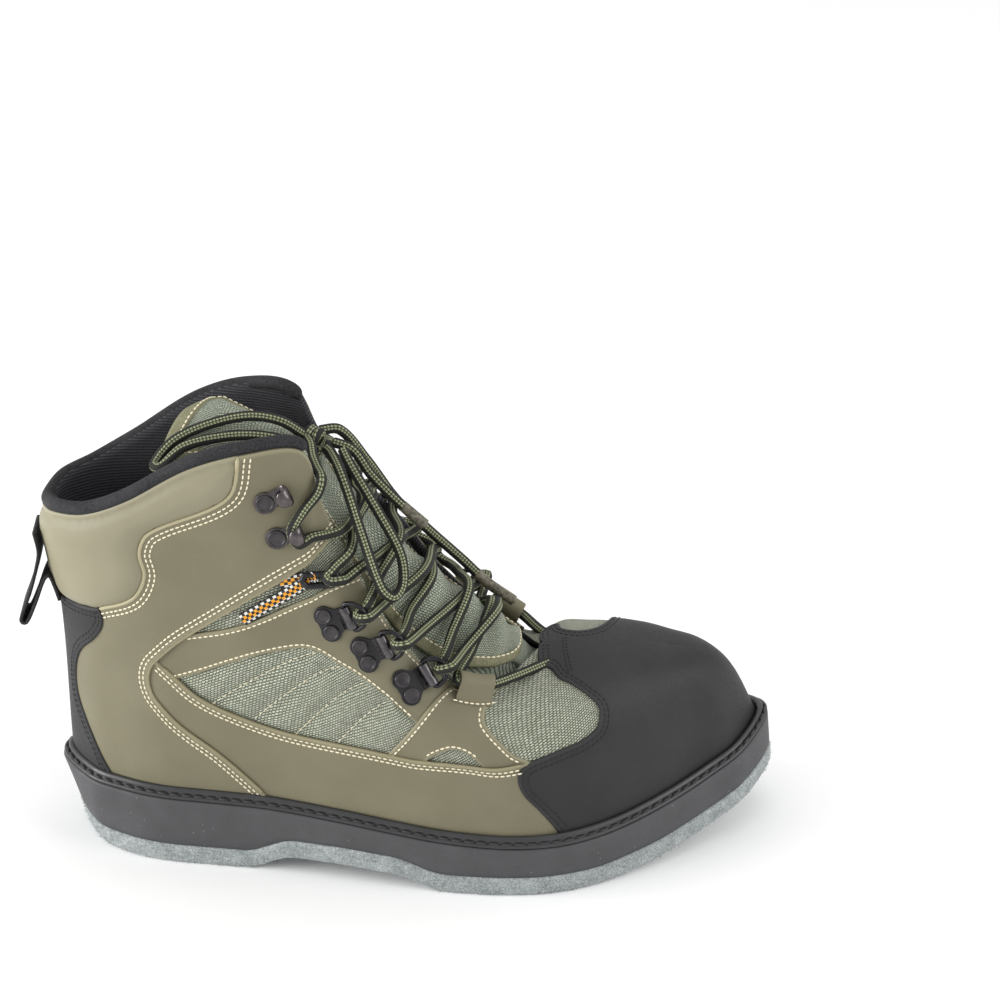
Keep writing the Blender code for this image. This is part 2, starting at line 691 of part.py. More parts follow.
def build_tongue():
    """Arched tongue behind the lacing."""
    shape = bmesh.new()
    rings = []
    for s in np.linspace(0.0, 1.0, TONGUE_STEPS + 1):
        rings.append([metres(tongue_surface(s, w)) for w in np.linspace(-1.0, 1.0, TONGUE_COLUMNS + 1)])
    loft(shape, rings, closed_rings=False, cap=False)
    bmesh.ops.recalc_face_normals(shape, faces=shape.faces[:])
    if shape.faces[:][0].normal.z < 0:
        bmesh.ops.reverse_faces(shape, faces=shape.faces[:])
    tongue = add_part("tongue", mesh_from("tongue", shape), "mesh")
    pad = tongue.modifiers.new("pad", "SOLIDIFY")
    pad.thickness = TONGUE_THICK * MM
    pad.offset = -1.0


def cut_pattern(pattern, place, way, clear=False):
    """Cut a flat pattern along a line, and drop what lies past it if clear is set."""
    pieces = pattern.verts[:] + pattern.edges[:] + pattern.faces[:]
    bmesh.ops.bisect_plane(pattern, geom=pieces, dist=CUT_TOLERANCE, plane_co=place, plane_no=way, clear_outer=clear)


def flat_pattern(edge):
    """Flat pattern of a panel, drawn in by half a seam and cut along the grid lines of the upper."""
    pattern = bmesh.new()
    face = pattern.faces.new([pattern.verts.new((u * U_SPAN, v * V_SPAN, 0.0)) for u, v in edge])
    face.normal_update()
    rim = bmesh.ops.inset_region(pattern, faces=[face], thickness=SEAM_GAP / 2, use_boundary=True,
                                 use_even_offset=True)
    bmesh.ops.delete(pattern, geom=rim["faces"], context="FACES")
    cut_pattern(pattern, (0.0, 0.0, 0.0), (-1, 0, 0), clear=True)
    cut_pattern(pattern, (U_SPAN, 0.0, 0.0), (1, 0, 0), clear=True)
    cut_pattern(pattern, (0.0, V_SPAN, 0.0), (0, 1, 0), clear=True)
    for u in GRID_U[1:-1]:
        cut_pattern(pattern, (u * U_SPAN, 0.0, 0.0), (1, 0, 0))
    for v in GRID_V[1:-1]:
        cut_pattern(pattern, (0.0, v * V_SPAN, 0.0), (0, 1, 0))
    cut_diagonals(pattern)
    pattern.normal_update()
    return pattern


def cut_diagonals(pattern):
    """Cut each face of a gridded pattern along the diagonal of its grid cell."""
    for face in pattern.faces[:]:
        middle = face.calc_center_median()
        i = int(np.searchsorted(GRID_U * U_SPAN, middle.x)) - 1
        j = int(np.searchsorted(GRID_V * V_SPAN, middle.y)) - 1
        way = ((GRID_V[j] - GRID_V[j + 1]) * V_SPAN, (GRID_U[i + 1] - GRID_U[i]) * U_SPAN, 0.0)
        bmesh.ops.bisect_plane(pattern, geom=face.verts[:] + face.edges[:] + [face], dist=CUT_TOLERANCE,
                               plane_co=(GRID_U[i] * U_SPAN, GRID_V[j] * V_SPAN, 0.0), plane_no=way)


def lay_panel(shape, side, edge, lift):
    """Lay a panel's flat pattern along the facets of the upper, on one side of the boot."""
    pattern = flat_pattern(edge)
    places = {}
    for vert in pattern.verts:
        point, normal = on_grid(side, vert.co.x / U_SPAN, vert.co.y / V_SPAN)
        places[vert] = shape.verts.new(metres(point + normal * lift))
    for face in pattern.faces:
        ring = [places[vert] for vert in face.verts]
        if (face.normal.z > 0) != (side == LATERAL):
            ring.reverse()
        shape.faces.new(ring)
    pattern.free()


def build_panel(name, finish, sides, edge, lift=PANEL_LIFT, thick=PANEL_THICK):
    """Panel over the upper on one side, or on both sides and joined where they meet."""
    shape = bmesh.new()
    for side in sides:
        lay_panel(shape, side, edge, lift)
    bmesh.ops.remove_doubles(shape, verts=shape.verts[:], dist=SEAM_MERGE)
    panel = add_part(name, mesh_from(name, shape), finish)
    hide = panel.modifiers.new("hide", "SOLIDIFY")
    hide.thickness = thick * MM
    hide.offset = 1.0
    hide.use_quality_normals = True


def build_panels():
    """Every panel that is sewn over the upper."""
    both = (LATERAL, MEDIAL)
    back = -PAST_SEAM
    front = 1 + PAST_SEAM
    pad = ((back, PAD_EDGE[0][1]),) + PAD_EDGE + ((back, PANEL_TOP),)
    build_panel("collar_pad", "pale_olive", both, pad)
    counter = ((back, COUNTER_EDGE[0][1]),) + COUNTER_EDGE + ((back, PANEL_FOOT),)
    build_panel("heel_counter", "black_leather", both, counter)
    cap = CAP_EDGE + ((front, CAP_FOOT), (front, front), (CAP_EDGE[0][0], front))
    build_panel("toe_cap", "black_leather", both, cap)
    quarter = QUARTER_FRONT + tuple(reversed(COUNTER_EDGE)) + PAD_EDGE[1:] + QUARTER_TOP
    eyestay = EYESTAY_TOP + EYESTAY_THROAT + VAMP_REAR[:2] + EYESTAY_LOWER
    eyestay += (REAR_POINT, QUARTER_FRONT[5], QUARTER_FRONT[4])
    foxing = (REAR_POINT,) + FOXING_TOP + CAP_EDGE[-4:] + tuple(reversed(QUARTER_FRONT[6:]))
    vamp = VAMP_REAR + (FOXING_TOP[5],) + SMALL_WINDOW + VAMP_FRONT
    for side, word in SIDES:
        build_panel("quarter_" + word, "olive", (side,), quarter)
        build_panel("eyestay_" + word, "olive", (side,), eyestay)
        build_panel("foxing_" + word, "olive", (side,), foxing)
        build_panel("vamp_panel_" + word, "olive", (side,), vamp)
        build_panel("webbing_loop_" + word, "webbing", (side,), WEBBING_LOOP, thick=WEBBING_THICK)


def heel_back(z):
    """Point of the skin at the back of the heel at one height."""
    low, high = 0.0, 1.0
    for _ in range(40):
        middle = (low + high) / 2
        if skin(LATERAL, 0.0, middle)[2] < z:
            low = middle
        else:
            high = middle
    return skin(LATERAL, 0.0, low)


def build_pull_loop():
    """Webbing strip down the back of the shaft that stands out in a loop."""
    line = [np.array([heel_back(point.z)[0] - point.behind, point.z]) for point in PULL_LOOP]
    middle = heel_back(PULL_LOOP[0].z)[1]
    knots = np.arange(len(line), dtype=float)
    steps = np.linspace(0.0, knots[-1], PULL_LOOP_STEPS + 1)
    path = [smooth(knots, np.array(line), t) for t in steps]
    rings = []
    for k, point in enumerate(path):
        way = path[min(k + 1, len(path) - 1)] - path[max(k - 1, 0)]
        across = np.array([-way[1], way[0]]) / np.linalg.norm(way) * WEBBING_THICK / 2
        ring = []
        for sign, half in ((1, -1), (1, 1), (-1, 1), (-1, -1)):
            edge = point + across * sign
            ring.append(metres((edge[0], middle + half * PULL_LOOP_WIDTH / 2, edge[1])))
        rings.append(ring)
    shape = bmesh.new()
    loft(shape, rings)
    bmesh.ops.recalc_face_normals(shape, faces=shape.faces[:])
    add_part("pull_loop", mesh_from("pull_loop", shape), "webbing")


def arc(centre, radius, start, end, steps):
    """Points of an arc in a plane, angles in degrees."""
    angles = [math.radians(start + (end - start) * k / steps) for k in range(steps + 1)]
    return [(centre[0] + radius * math.cos(a), centre[1] + radius * math.sin(a)) for a in angles]


def prism(points, low, high):
    """Solid over an outline in x and y, between two heights."""
    shape = bmesh.new()
    rings = [[Vector((x * MM, y * MM, z * MM)) for x, y in points] for z in (low, high)]
    loft(shape, rings)
    bmesh.ops.recalc_face_normals(shape, faces=shape.faces[:])
    return shape


def curled_strip(start, reach, inner, width):
    """Strip that runs out along y and curls up round an axis along x."""
    outer = inner + PLATE_THICK
    centre = (reach, outer + STRIP_INSET)
    profile = [(start, STRIP_INSET)] + arc(centre, outer, -90, CURL_END, CURL_STEPS)
    profile += list(reversed(arc(centre, inner, -90, CURL_END, CURL_STEPS)))
    profile.append((start, PLATE_THICK - STRIP_INSET))
    shape = bmesh.new()
    rings = [[Vector((x * MM, y * MM, z * MM)) for y, z in profile] for x in (-width / 2, width / 2)]
    loft(shape, rings)
    bmesh.ops.recalc_face_normals(shape, faces=shape.faces[:])
    return shape


def rivet(x):
    """Domed rivet head through a plate."""
    shape = bmesh.new()
    middle = Matrix.Translation((x * MM, 0.0, (RIVET_FOOT + RIVET_TOP) / 2 * MM))
    bmesh.ops.create_cone(shape, cap_ends=True, segments=RIVET_SIDES, radius1=RIVET_RADIUS * MM,
                          radius2=RIVET_CROWN * MM, depth=(RIVET_TOP - RIVET_FOOT) * MM, matrix=middle)
    return shape


def fused(name, shapes):
    """One mesh from solids that overlap, joined by Boolean unions."""
    joined = []
    for shape in shapes:
        data = bpy.data.meshes.new(name)
        shape.to_mesh(data)
        shape.free()
        piece = bpy.data.objects.new(name, data)
        piece.hide_render = True
        piece.display_type = "WIRE"
        CUTTERS.objects.link(piece)
        joined.append(piece)
    for other in joined[1:]:
        union = joined[0].modifiers.new("join", "BOOLEAN")
        union.operation = "UNION"
        union.object = other
    graph = bpy.context.evaluated_depsgraph_get()
    made = bpy.data.meshes.new_from_object(joined[0].evaluated_get(graph))
    for piece in joined:
        bpy.data.objects.remove(piece, do_unlink=True)
    made.shade_smooth()
    made.set_sharp_from_angle(angle=math.radians(SHARP_ANGLE))
    return made


def ring_plate_mesh():
    """Two-lobed plate with a curl for the ring's straight leg, and its two rivets."""
    side = RIVET_SPACING / 2
    lobe = RIVET_RADIUS + PLATE_RIM
    half = CURL_WIDTH / 2
    end = CURL_REACH - PLATE_RIM
    points = [(half, end), (half, PLATE_NECK)]
    points += arc((side, 0.0), lobe, LOBE_NEAR[0], LOBE_NEAR[1], LOBE_STEPS)
    points += arc((-side, 0.0), lobe, LOBE_FAR[0], LOBE_FAR[1], LOBE_STEPS)
    points += [(-half, PLATE_NECK), (-half, end)]
    curl = curled_strip(CURL_START, CURL_REACH, WIRE_RADIUS + CURL_GAP, CURL_WIDTH - 2 * STRIP_INSET)
    return fused("ring_plate", [prism(points, 0.0, PLATE_THICK), curl, rivet(side), rivet(-side)])


def hook_mesh():
    """Speed hook: a round base with its rivet and a strip that curls back over the lace."""
    round_base = arc((0.0, 0.0), HOOK_BASE, 0, 360, HOOK_BASE_SIDES)[:-1]
    base = prism(round_base, 0.0, PLATE_THICK)
    strip = curled_strip(HOOK_START, HOOK_REACH, HOOK_CHANNEL, HOOK_WIDTH)
    return fused("hook", [base, strip, rivet(0.0)])


def wire_curve(name, points, radius, cyclic, resolution):
    """Curve object data for a round wire or cord through points in metres."""
    data = bpy.data.curves.new(name, "CURVE")
    data.dimensions = "3D"
    data.bevel_depth = radius * MM
    data.bevel_resolution = resolution
    data.use_fill_caps = not cyclic
    line = data.splines.new("POLY")
    line.points.add(len(points) - 1)
    for spot, point in zip(line.points, points):
        spot.co = (point[0], point[1], point[2], 1.0)
    line.use_cyclic_u = cyclic
    return data


def skin_normal(side, u, v):
    """Outward unit normal of the skin."""
    along = skin(side, u + SLOPE_STEP, v) - skin(side, u - SLOPE_STEP, v)
    up = skin(side, u, v + SLOPE_STEP) - skin(side, u, v - SLOPE_STEP)
    normal = np.cross(along, up) * -side
    return normal / np.linalg.norm(normal)


def fitting_frame(side, fitting, lift):
    """Matrix of a fitting: x across, y towards its aim, z out from the upper."""
    place = skin(side, fitting.u, fitting.v)
    normal = skin_normal(side, fitting.u, fitting.v)
    aim = skin(side, fitting.aim_u, fitting.aim_v) - place
    aim = aim - normal * aim.dot(normal)
    aim = aim / np.linalg.norm(aim)
    across = np.cross(aim, normal)
    turn = Matrix((across, aim, normal)).transposed().to_4x4()
    return Matrix.Translation(metres(place + normal * lift)) @ turn


def ring_points():
    """Wire of a D ring in its plate's frame, tilted up from the plate."""
    tilt = math.radians(RING_TILT)
    height = WIRE_RADIUS + CURL_GAP + PLATE_THICK + STRIP_INSET
    return [Vector((x * MM, (CURL_REACH + y * math.cos(tilt)) * MM, (height + y * math.sin(tilt)) * MM))
            for x, y in RING_WIRE]


def build_fittings():
    """Ring plates with their D rings, speed hooks and the wire slides on the webbing loops."""
    plate = ring_plate_mesh()
    hook = hook_mesh()
    ring = wire_curve("d_ring", ring_points(), WIRE_RADIUS, True, 1)
    slide = wire_curve("slide", [Vector((x * MM, y * MM, 0.0)) for x, y in SLIDE_WIRE], WIRE_RADIUS, True, 1)
    for side, word in SIDES:
        for fitting in RING_PLATES:
            frame = fitting_frame(side, fitting, PLATE_LIFT)
            add_part("ring_plate_" + word + "_" + fitting.word, plate, "gunmetal", frame)
            add_part("d_ring_" + word + "_" + fitting.word, ring, "gunmetal", frame)
        for fitting in HOOKS:
            frame = fitting_frame(side, fitting, HOOK_LIFT)
            add_part("hook_" + word + "_" + fitting.word, hook, "gunmetal", frame)
        frame = fitting_frame(side, WEBBING_RING, SLIDE_LIFT)
        add_part("slide_" + word, slide, "gunmetal", frame)


def tunnel_line(side):
    """Middle line of the lace tunnel, just over the throat edge."""
    line = []
    for u in TUNNEL_ENDS:
        lift = TUNNEL_RADIUS + TUNNEL_LEATHER + PANEL_LIFT + PANEL_THICK + SEAT_GAP
        line.append(skin(side, u, TUNNEL_LEVEL) + skin_normal(side, u, TUNNEL_LEVEL) * lift)
    return line


def build_tunnels():
    """Leather tube at the head of each vamp panel that the lace runs through."""
    for side, word in SIDES:
        low, high = (metres(point) for point in tunnel_line(side))
        way = high - low
        turn = way.to_track_quat("Z", "Y").to_matrix().to_4x4()
        shape = bmesh.new()
        bmesh.ops.create_cone(shape, cap_ends=False, segments=TUNNEL_SIDES, radius1=TUNNEL_RADIUS * MM,
                              radius2=TUNNEL_RADIUS * MM, depth=way.length,
                              matrix=Matrix.Translation((low + high) / 2) @ turn)
        bmesh.ops.recalc_face_normals(shape, faces=shape.faces[:])
        tunnel = add_part("lace_tunnel_" + word, mesh_from("lace_tunnel_" + word, shape), "olive")
        leather = tunnel.modifiers.new("leather", "SOLIDIFY")
        leather.thickness = TUNNEL_LEATHER * MM
        leather.offset = 1.0


def tongue_normal(s, w):
    """Outward unit normal of the tongue."""
    along = tongue_surface(min(s + SLOPE_STEP, 1.0), w) - tongue_surface(max(s - SLOPE_STEP, 0.0), w)
    across = tongue_surface(s, w + SLOPE_STEP) - tongue_surface(s, w - SLOPE_STEP)
    normal = np.cross(across, along)
    return normal / np.linalg.norm(normal) * (1 if normal[2] > 0 else -1)


def crossing_line(start, end, side, over):
    """Run of lace over the tongue from one side to the other, between two places along it."""
    line = []
    for t in np.linspace(0.0, 1.0, CROSSING_POINTS):
        s = start + LACE_STEP + (end - start - 2 * LACE_STEP) * t
        w = side * LACE_SPREAD * (1 - 2 * t)
        lift = LACE_RADIUS + LACE_CLEAR + over * math.sin(math.pi * t)
        line.append(tongue_surface(s, w) + tongue_normal(s, w) * lift)
    return line


def cord_mesh(points):
    """Closed round cord through table points, as a bmesh."""
    data = wire_curve("cord", [metres(point) for point in points], LACE_RADIUS, False, 1)
    guide = bpy.data.objects.new("cord", data)
    CUTTERS.objects.link(guide)
    graph = bpy.context.evaluated_depsgraph_get()
    made = bpy.data.meshes.new_from_object(guide.evaluated_get(graph))
    bpy.data.objects.remove(guide, do_unlink=True)
    shape = bmesh.new()
    shape.from_mesh(made)
    bmesh.ops.remove_doubles(shape, verts=shape.verts[:], dist=MERGE)
    bmesh.ops.recalc_face_normals(shape, faces=shape.faces[:])
    return shape


def build_lace_crossings():
    """Crossed runs of lace over the tongue, each pair joined where it crosses."""
    for k, (low, high) in enumerate(zip(LACE_LEVELS, LACE_LEVELS[1:])):
        under = cord_mesh(crossing_line(low.lateral, high.medial, LATERAL, 0.0))
        over = cord_mesh(crossing_line(low.medial, high.lateral, MEDIAL, LACE_RADIUS))
        add_part("lace_crossing_" + str(k + 1), fused("lace_crossing", [under, over]), "lace")


def build_lace_free():
    """Knot, bow and ends of the lace."""
    routes = (("lace_knot", LACE_KNOT), ("lace_bow_rear", LACE_BOW_REAR), ("lace_bow_front", LACE_BOW_FRONT),
              ("lace_end_long", LACE_END_LONG), ("lace_end_short", LACE_END_SHORT))
    for name, route in routes:
        rows = np.array(route, float)
        lengths = np.linalg.norm(np.diff(rows, axis=0), axis=1)
        knots = np.concatenate([[0.0], np.cumsum(lengths)])
        steps = np.linspace(0.0, knots[-1], math.ceil(knots[-1] / LACE_PITCH) + 1)
        points = [metres(smooth(knots, rows, t)) for t in steps]
        add_part(name, wire_curve(name, points, LACE_RADIUS, False, 2), "lace")


build_felt_outsole()
build_midsole()
build_insole()
build_welt()
build_upper()
build_tongue()
build_panels()
build_pull_loop()
build_fittings()
build_tunnels()
build_lace_crossings()
build_lace_free()
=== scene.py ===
"""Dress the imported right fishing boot: smooth forms, finishes, floor, light and camera.

The tables are in millimetres in the boot's own frame and become metres through place(). +X points to
the toe, +Y to the inner (medial) side of the right foot and +Z up, with the floor at z = 0. On the
upper, u runs along the sole edge from the heel (0) to the toe (1), signed by the side of the boot,
and v runs up a section from the ledge (0) to the top line (1).
"""
import logging
import math
from collections.abc import Callable, Sequence
from dataclasses import dataclass, field
from enum import Enum

import bmesh
import bpy
import numpy as np
from mathutils import Matrix, Vector


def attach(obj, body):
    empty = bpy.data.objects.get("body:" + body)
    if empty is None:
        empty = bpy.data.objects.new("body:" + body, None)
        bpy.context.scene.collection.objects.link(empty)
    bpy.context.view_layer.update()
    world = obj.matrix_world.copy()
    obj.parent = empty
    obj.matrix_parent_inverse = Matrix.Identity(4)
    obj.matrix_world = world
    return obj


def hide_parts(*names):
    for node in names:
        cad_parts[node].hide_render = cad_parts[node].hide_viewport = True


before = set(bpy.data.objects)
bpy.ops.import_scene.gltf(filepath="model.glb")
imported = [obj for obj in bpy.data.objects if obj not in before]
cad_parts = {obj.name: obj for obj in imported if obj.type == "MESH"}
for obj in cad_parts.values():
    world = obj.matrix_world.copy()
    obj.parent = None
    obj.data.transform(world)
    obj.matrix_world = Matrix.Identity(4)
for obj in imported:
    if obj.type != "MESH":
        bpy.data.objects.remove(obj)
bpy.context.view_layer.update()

MM = 0.001
BODY = "root"
BOX_MIDDLE = (150.18, -3.49)
MERGE = 2e-6
FAR_FROM_EDGE = 9.0
LOG = logging.getLogger("boot")

Array = np.ndarray
Rows = tuple[tuple[float, ...], ...]
Form = Callable[[Array, Array], Array]
Pair = tuple[float, float]
Point = tuple[float, float, float]
BMesh = bmesh.types.BMesh
Material = bpy.types.Material
Object = bpy.types.Object
Tree = bpy.types.NodeTree
UP = (0.0, 0.0, 1.0)


class Side(Enum):
    """Side of the boot, with the sign that u has there."""

    LATERAL = -1
    MEDIAL = 1

    @property
    def word(self) -> str:
        """Word that the CAD nodes of this side end in."""
        return self.name.lower()


class Thread(Enum):
    """Sewing thread of a row of stitches: hex colour and roughness."""

    CREAM = ("#efe5c9", 0.6)
    BLACK = ("#232225", 0.5)
    WHITE = ("#e9e8e2", 0.6)
    GREY = ("#39383b", 0.5)


def place(points: Array) -> Array:
    """Table points, in millimetres, as metres in the part's frame."""
    return (np.asarray(points, float) - (BOX_MIDDLE[0], BOX_MIDDLE[1], 0.0)) * MM


def smooth(knots: Array, rows: Array, at: Array) -> Array:
    """Read a smooth curve that meets each row at its knot.

    Args:
        knots: Increasing places of the rows.
        rows: One row of values for each knot.
        at: Places to read.

    Returns:
        One row of values for each place.
    """
    at = np.asarray(at, float)
    step = np.diff(knots)
    slope = np.empty_like(rows)
    slope[0] = (rows[1] - rows[0]) / step[0]
    slope[-1] = (rows[-1] - rows[-2]) / step[-1]
    slope[1:-1] = (rows[2:] - rows[:-2]) / (knots[2:] - knots[:-2])[:, None]
    i = np.clip(np.searchsorted(knots, at, side="right") - 1, 0, len(knots) - 2)
    wide = step[i][..., None]
    s = (at - knots[i])[..., None] / wide
    start = (2 * s ** 3 - 3 * s ** 2 + 1) * rows[i] + (s ** 3 - 2 * s ** 2 + s) * wide * slope[i]
    end = (3 * s ** 2 - 2 * s ** 3) * rows[i + 1] + (s ** 3 - s ** 2) * wide * slope[i + 1]
    return start + end


def lengths(points: Array) -> Array:
    """Length along a line of points, at each point."""
    return np.concatenate([[0.0], np.cumsum(np.linalg.norm(np.diff(points, axis=0), axis=1))])


def curve_through(points: Sequence, spacing: float) -> Array:
    """Smooth curve through points.

    Args:
        points: Points that the curve meets.
        spacing: Distance between the points of the result.

    Returns:
        Points along the curve.
    """
    rows = np.array(points, float)
    knots = lengths(rows)
    count = max(int(math.ceil(knots[-1] / spacing)), 1)
    fine = smooth(knots, rows, np.linspace(0.0, knots[-1], count * 4 + 1))
    return along(fine, np.linspace(0.0, lengths(fine)[-1], count + 1))


def along(rows: Array, at: Array, run: Array | None = None) -> Array:
    """Rows read at some lengths along a line.

    Args:
        rows: Points of the line, or other rows of values that go with them.
        at: Lengths to read at.
        run: Length along the line at each row, if the rows aren't its points.

    Returns:
        One row for each length.
    """
    run = lengths(rows) if run is None else run
    return np.stack([np.interp(at, run, column) for column in rows.T], axis=1)


def step_at(share: Array, steps: int) -> Array:
    """Number of the step that lies at a share of some steps."""
    return np.round(share * steps).astype(int)


def unit(vectors: Array) -> Array:
    """Vectors scaled to length one."""
    return vectors / np.maximum(np.linalg.norm(vectors, axis=-1, keepdims=True), 1e-12)


def distance_to_line(points: Array, line: Array, closed: bool) -> Array:
    """Distance in the plane from points to a line of points.

    Args:
        points: Places, a row each.
        line: Points of the line.
        closed: Whether the line goes back to its start.

    Returns:
        One distance for each place.
    """
    ends = np.roll(line, -1, axis=0) if closed else line[1:]
    starts = line if closed else line[:-1]
    best = np.full(len(points), np.inf)
    for a, b in zip(starts, ends):
        way = b - a
        t = np.clip(((points - a) @ way) / max(way @ way, 1e-12), 0.0, 1.0)
        best = np.minimum(best, np.linalg.norm(points - a - t[:, None] * way, axis=1))
    return best


@dataclass
class Last:
    """Form of the boot: the sole outline, the ledge and the skin of the upper, in millimetres."""

    heel_tip: Pair = (-4.0, 11.0)
    toe_tip: Pair = (317.2, 22.0)
    ledge_width: float = 6.6
    wall: float = 2.8
    seat_gap: float = 0.3
    ridge_start: float = 0.69
    span: float = 370.0
    steps: int = 4000
    heel_soft: int = 56
    # Sole outline in plan: x, lateral y, medial y
    sole_plan: Rows = (
        (10, -15.0, 33.0), (27, -25.8, 39.0), (44, -32.4, 41.0), (68, -36.6, 41.0), (95, -41.0, 39.5),
        (124, -48.2, 40.0), (151, -54.8, 43.0), (178, -60.0, 48.0), (203, -61.5, 52.0), (223, -58.5, 54.0),
        (244, -49.5, 54.5), (267, -35.5, 54.0), (290, -17.5, 51.0), (306, -3.5, 44.0))
    # Heights along x: x, felt over the floor, ledge
    heights: Rows = (
        (-4, 2.5, 33.5), (12, 0.0, 33.0), (60, 0.0, 32.5), (84, 0.0, 32.0), (100, 7.5, 31.2),
        (124, 7.5, 29.5), (150, 6.0, 27.0), (167, 0.0, 25.4), (203, 0.0, 23.8), (240, 0.0, 25.0),
        (267, 4.0, 29.8), (290, 9.8, 35.6), (306, 16.0, 41.8), (318, 22.5, 48.3))
    # Sections: u, top x, y, z, heading, low lean and reach, top lean and reach, medial shift of the top
    sections: Rows = (
        (0.000, -6.0, 2.5, 165.5, 0, -2, 0.33, -13, 0.36, 0, 5),
        (0.055, 0.5, -14.5, 169.5, 35, -3, 0.33, -15, 0.36, 0, 3),
        (0.120, 16.0, -26.0, 173.5, 62, -5, 0.33, -12, 0.36, 0, 3),
        (0.180, 35.0, -32.5, 183.0, 78, -6, 0.33, -8, 0.36, 0, 2),
        (0.250, 62.0, -36.0, 200.0, 90, -6, 0.33, -4, 0.36, 0, 1),
        (0.310, 87.0, -35.5, 207.5, 90, -5, 0.33, 2, 0.36, -2, 0),
        (0.360, 110.0, -31.0, 207.5, 90, -4, 0.33, 8, 0.36, -5, -3),
        (0.400, 115.5, -29.0, 189.5, 90, -3, 0.34, 14, 0.36, -1, -4),
        (0.440, 123.0, -30.0, 169.0, 90, -2, 0.35, 20, 0.36, 5, -4),
        (0.490, 135.0, -32.5, 145.0, 90, 0, 0.36, 28, 0.38, 14, -4),
        (0.545, 150.0, -35.5, 118.5, 90, 2, 0.38, 38, 0.40, 17, -5),
        (0.600, 168.0, -36.0, 99.5, 90, 4, 0.42, 55, 0.42, 18, -6),
        (0.645, 192.0, -30.0, 89.5, 90, 4, 0.50, 72, 0.42, 11, -8),
        (0.690, 214.0, -3.0, 95.0, 90, 2, 0.58, 90, 0.46, 0, -6),
        (0.760, 233.0, -0.5, 96.0, 90, 2, 0.58, 90, 0.50, 0, 0),
        (0.830, 254.0, 3.5, 92.5, 90, 6, 0.56, 90, 0.52, 0, 0),
        (0.900, 268.0, 7.5, 88.3, 105, 18, 0.46, 90, 0.50, 0, 0),
        (0.950, 270.0, 8.0, 87.6, 140, 24, 0.40, 90, 0.48, 0, 0),
        (1.000, 271.0, 8.3, 87.2, 180, 26, 0.38, 90, 0.46, 0, 0))
    # Soft troughs (negative) and ridges of the leather: depth, width, then u, v points
    folds: tuple[tuple[float, float, Rows], ...] = (
        (-0.9, 8.0, ((0.20, 0.70), (0.26, 0.74), (0.31, 0.73))),
        (0.5, 9.0, ((0.20, 0.62), (0.27, 0.65), (0.33, 0.70))),
        (-0.7, 7.0, ((0.10, 0.40), (0.15, 0.33), (0.20, 0.20))),
        (-0.6, 6.0, ((0.52, 0.62), (0.56, 0.66), (0.60, 0.72))),
        (0.5, 7.0, ((0.54, 0.45), (0.59, 0.60), (0.61, 0.80))),
        (-0.6, 9.0, ((0.42, 0.10), (0.50, 0.16), (0.58, 0.17))),
        (-0.8, 6.0, ((0.665, 0.55), (0.69, 0.70), (0.70, 0.90))),
        (-0.5, 10.0, ((0.78, 0.25), (0.84, 0.38), (0.90, 0.36))))

    def __post_init__(self) -> None:
        """Work out the tables that the surfaces are read from."""
        plan = np.array(self.sole_plan, float)
        points = np.vstack([[self.heel_tip], plan[:, :2], [self.toe_tip], plan[::-1][:, [0, 2]]])
        points = np.vstack([points[-3:], points, points[:4]])
        chords = np.linalg.norm(np.diff(points, axis=0), axis=1) ** 0.8
        knots = np.concatenate([[0.0], np.cumsum(chords)])
        heel, toe, last = knots[3], knots[4 + len(plan)], knots[5 + 2 * len(plan)]
        u = np.linspace(-1.0, 1.0, self.steps + 1)
        at = np.where(u < 0, heel - (toe - heel) * u, last + (toe - last) * u)
        self.rim = smooth(knots, points, at)
        ring = np.vstack([self.rim[-9:-1], self.rim, self.rim[1:9]])
        way = unit(ring[16:] - ring[:-16])
        self.inward = np.stack([way[:, 1], -way[:, 0]], axis=1)
        self.controls = self._controls(u)
        # The back seam of the heel is rounded off, as leather is that is drawn over a last
        window = np.hanning(2 * self.heel_soft + 1)
        flat = self.controls.reshape(len(u), -1).T
        soft = np.stack([np.convolve(row, window / window.sum(), mode="same") for row in flat], axis=1)
        share = np.clip(1.5 - np.abs(u) / 0.04, 0.0, 1.0)[:, None, None]
        self.controls += (soft.reshape(self.controls.shape) - self.controls) * share
        levels = np.linspace(0, 1, 25)
        samples = np.stack([self._bezier(self.controls, np.full(len(u), v)) for v in levels], axis=1)
        self.tall = np.linalg.norm(np.diff(samples, axis=1), axis=2).sum(axis=1)

    def _controls(self, u: Array) -> Array:
        """Four control points of the section at each signed u."""
        table = np.array(self.sections, float)
        row = smooth(table[:, 0], table[:, 1:], np.abs(u))
        x, y, z, heading, lean_low, reach_low, lean_top, reach_top, shift_x, shift_y = row.T
        low, top = np.radians(lean_low), np.radians(lean_top)
        foot = self.rim + self.inward * self.ledge_width
        raised = self.ledge(foot[:, 0]) + self.seat_gap + self.wall * np.maximum(np.sin(low), 0.0)
        foot = np.column_stack([foot, raised])
        far = (u > 0) & (u < self.ridge_start)
        head = np.column_stack([np.where(far, x + shift_x, x), np.where(far, shift_y - y, y), z])
        turn = np.radians(heading)
        zero = np.zeros_like(u)
        inward_top = np.column_stack([np.cos(turn), np.where(u < 0, 1.0, -1.0) * np.sin(turn), zero])
        inward_low = np.column_stack([self.inward, zero])
        up = np.array([0.0, 0.0, 1.0])
        low_way = inward_low * np.sin(low)[:, None] + up * np.cos(low)[:, None]
        top_way = inward_top * np.sin(top)[:, None] + up * np.cos(top)[:, None]
        reach = np.linalg.norm(head - foot, axis=1)[:, None]
        second = foot + low_way * reach_low[:, None] * reach
        third = head - top_way * reach_top[:, None] * reach
        return np.stack([foot, second, third, head], axis=1)

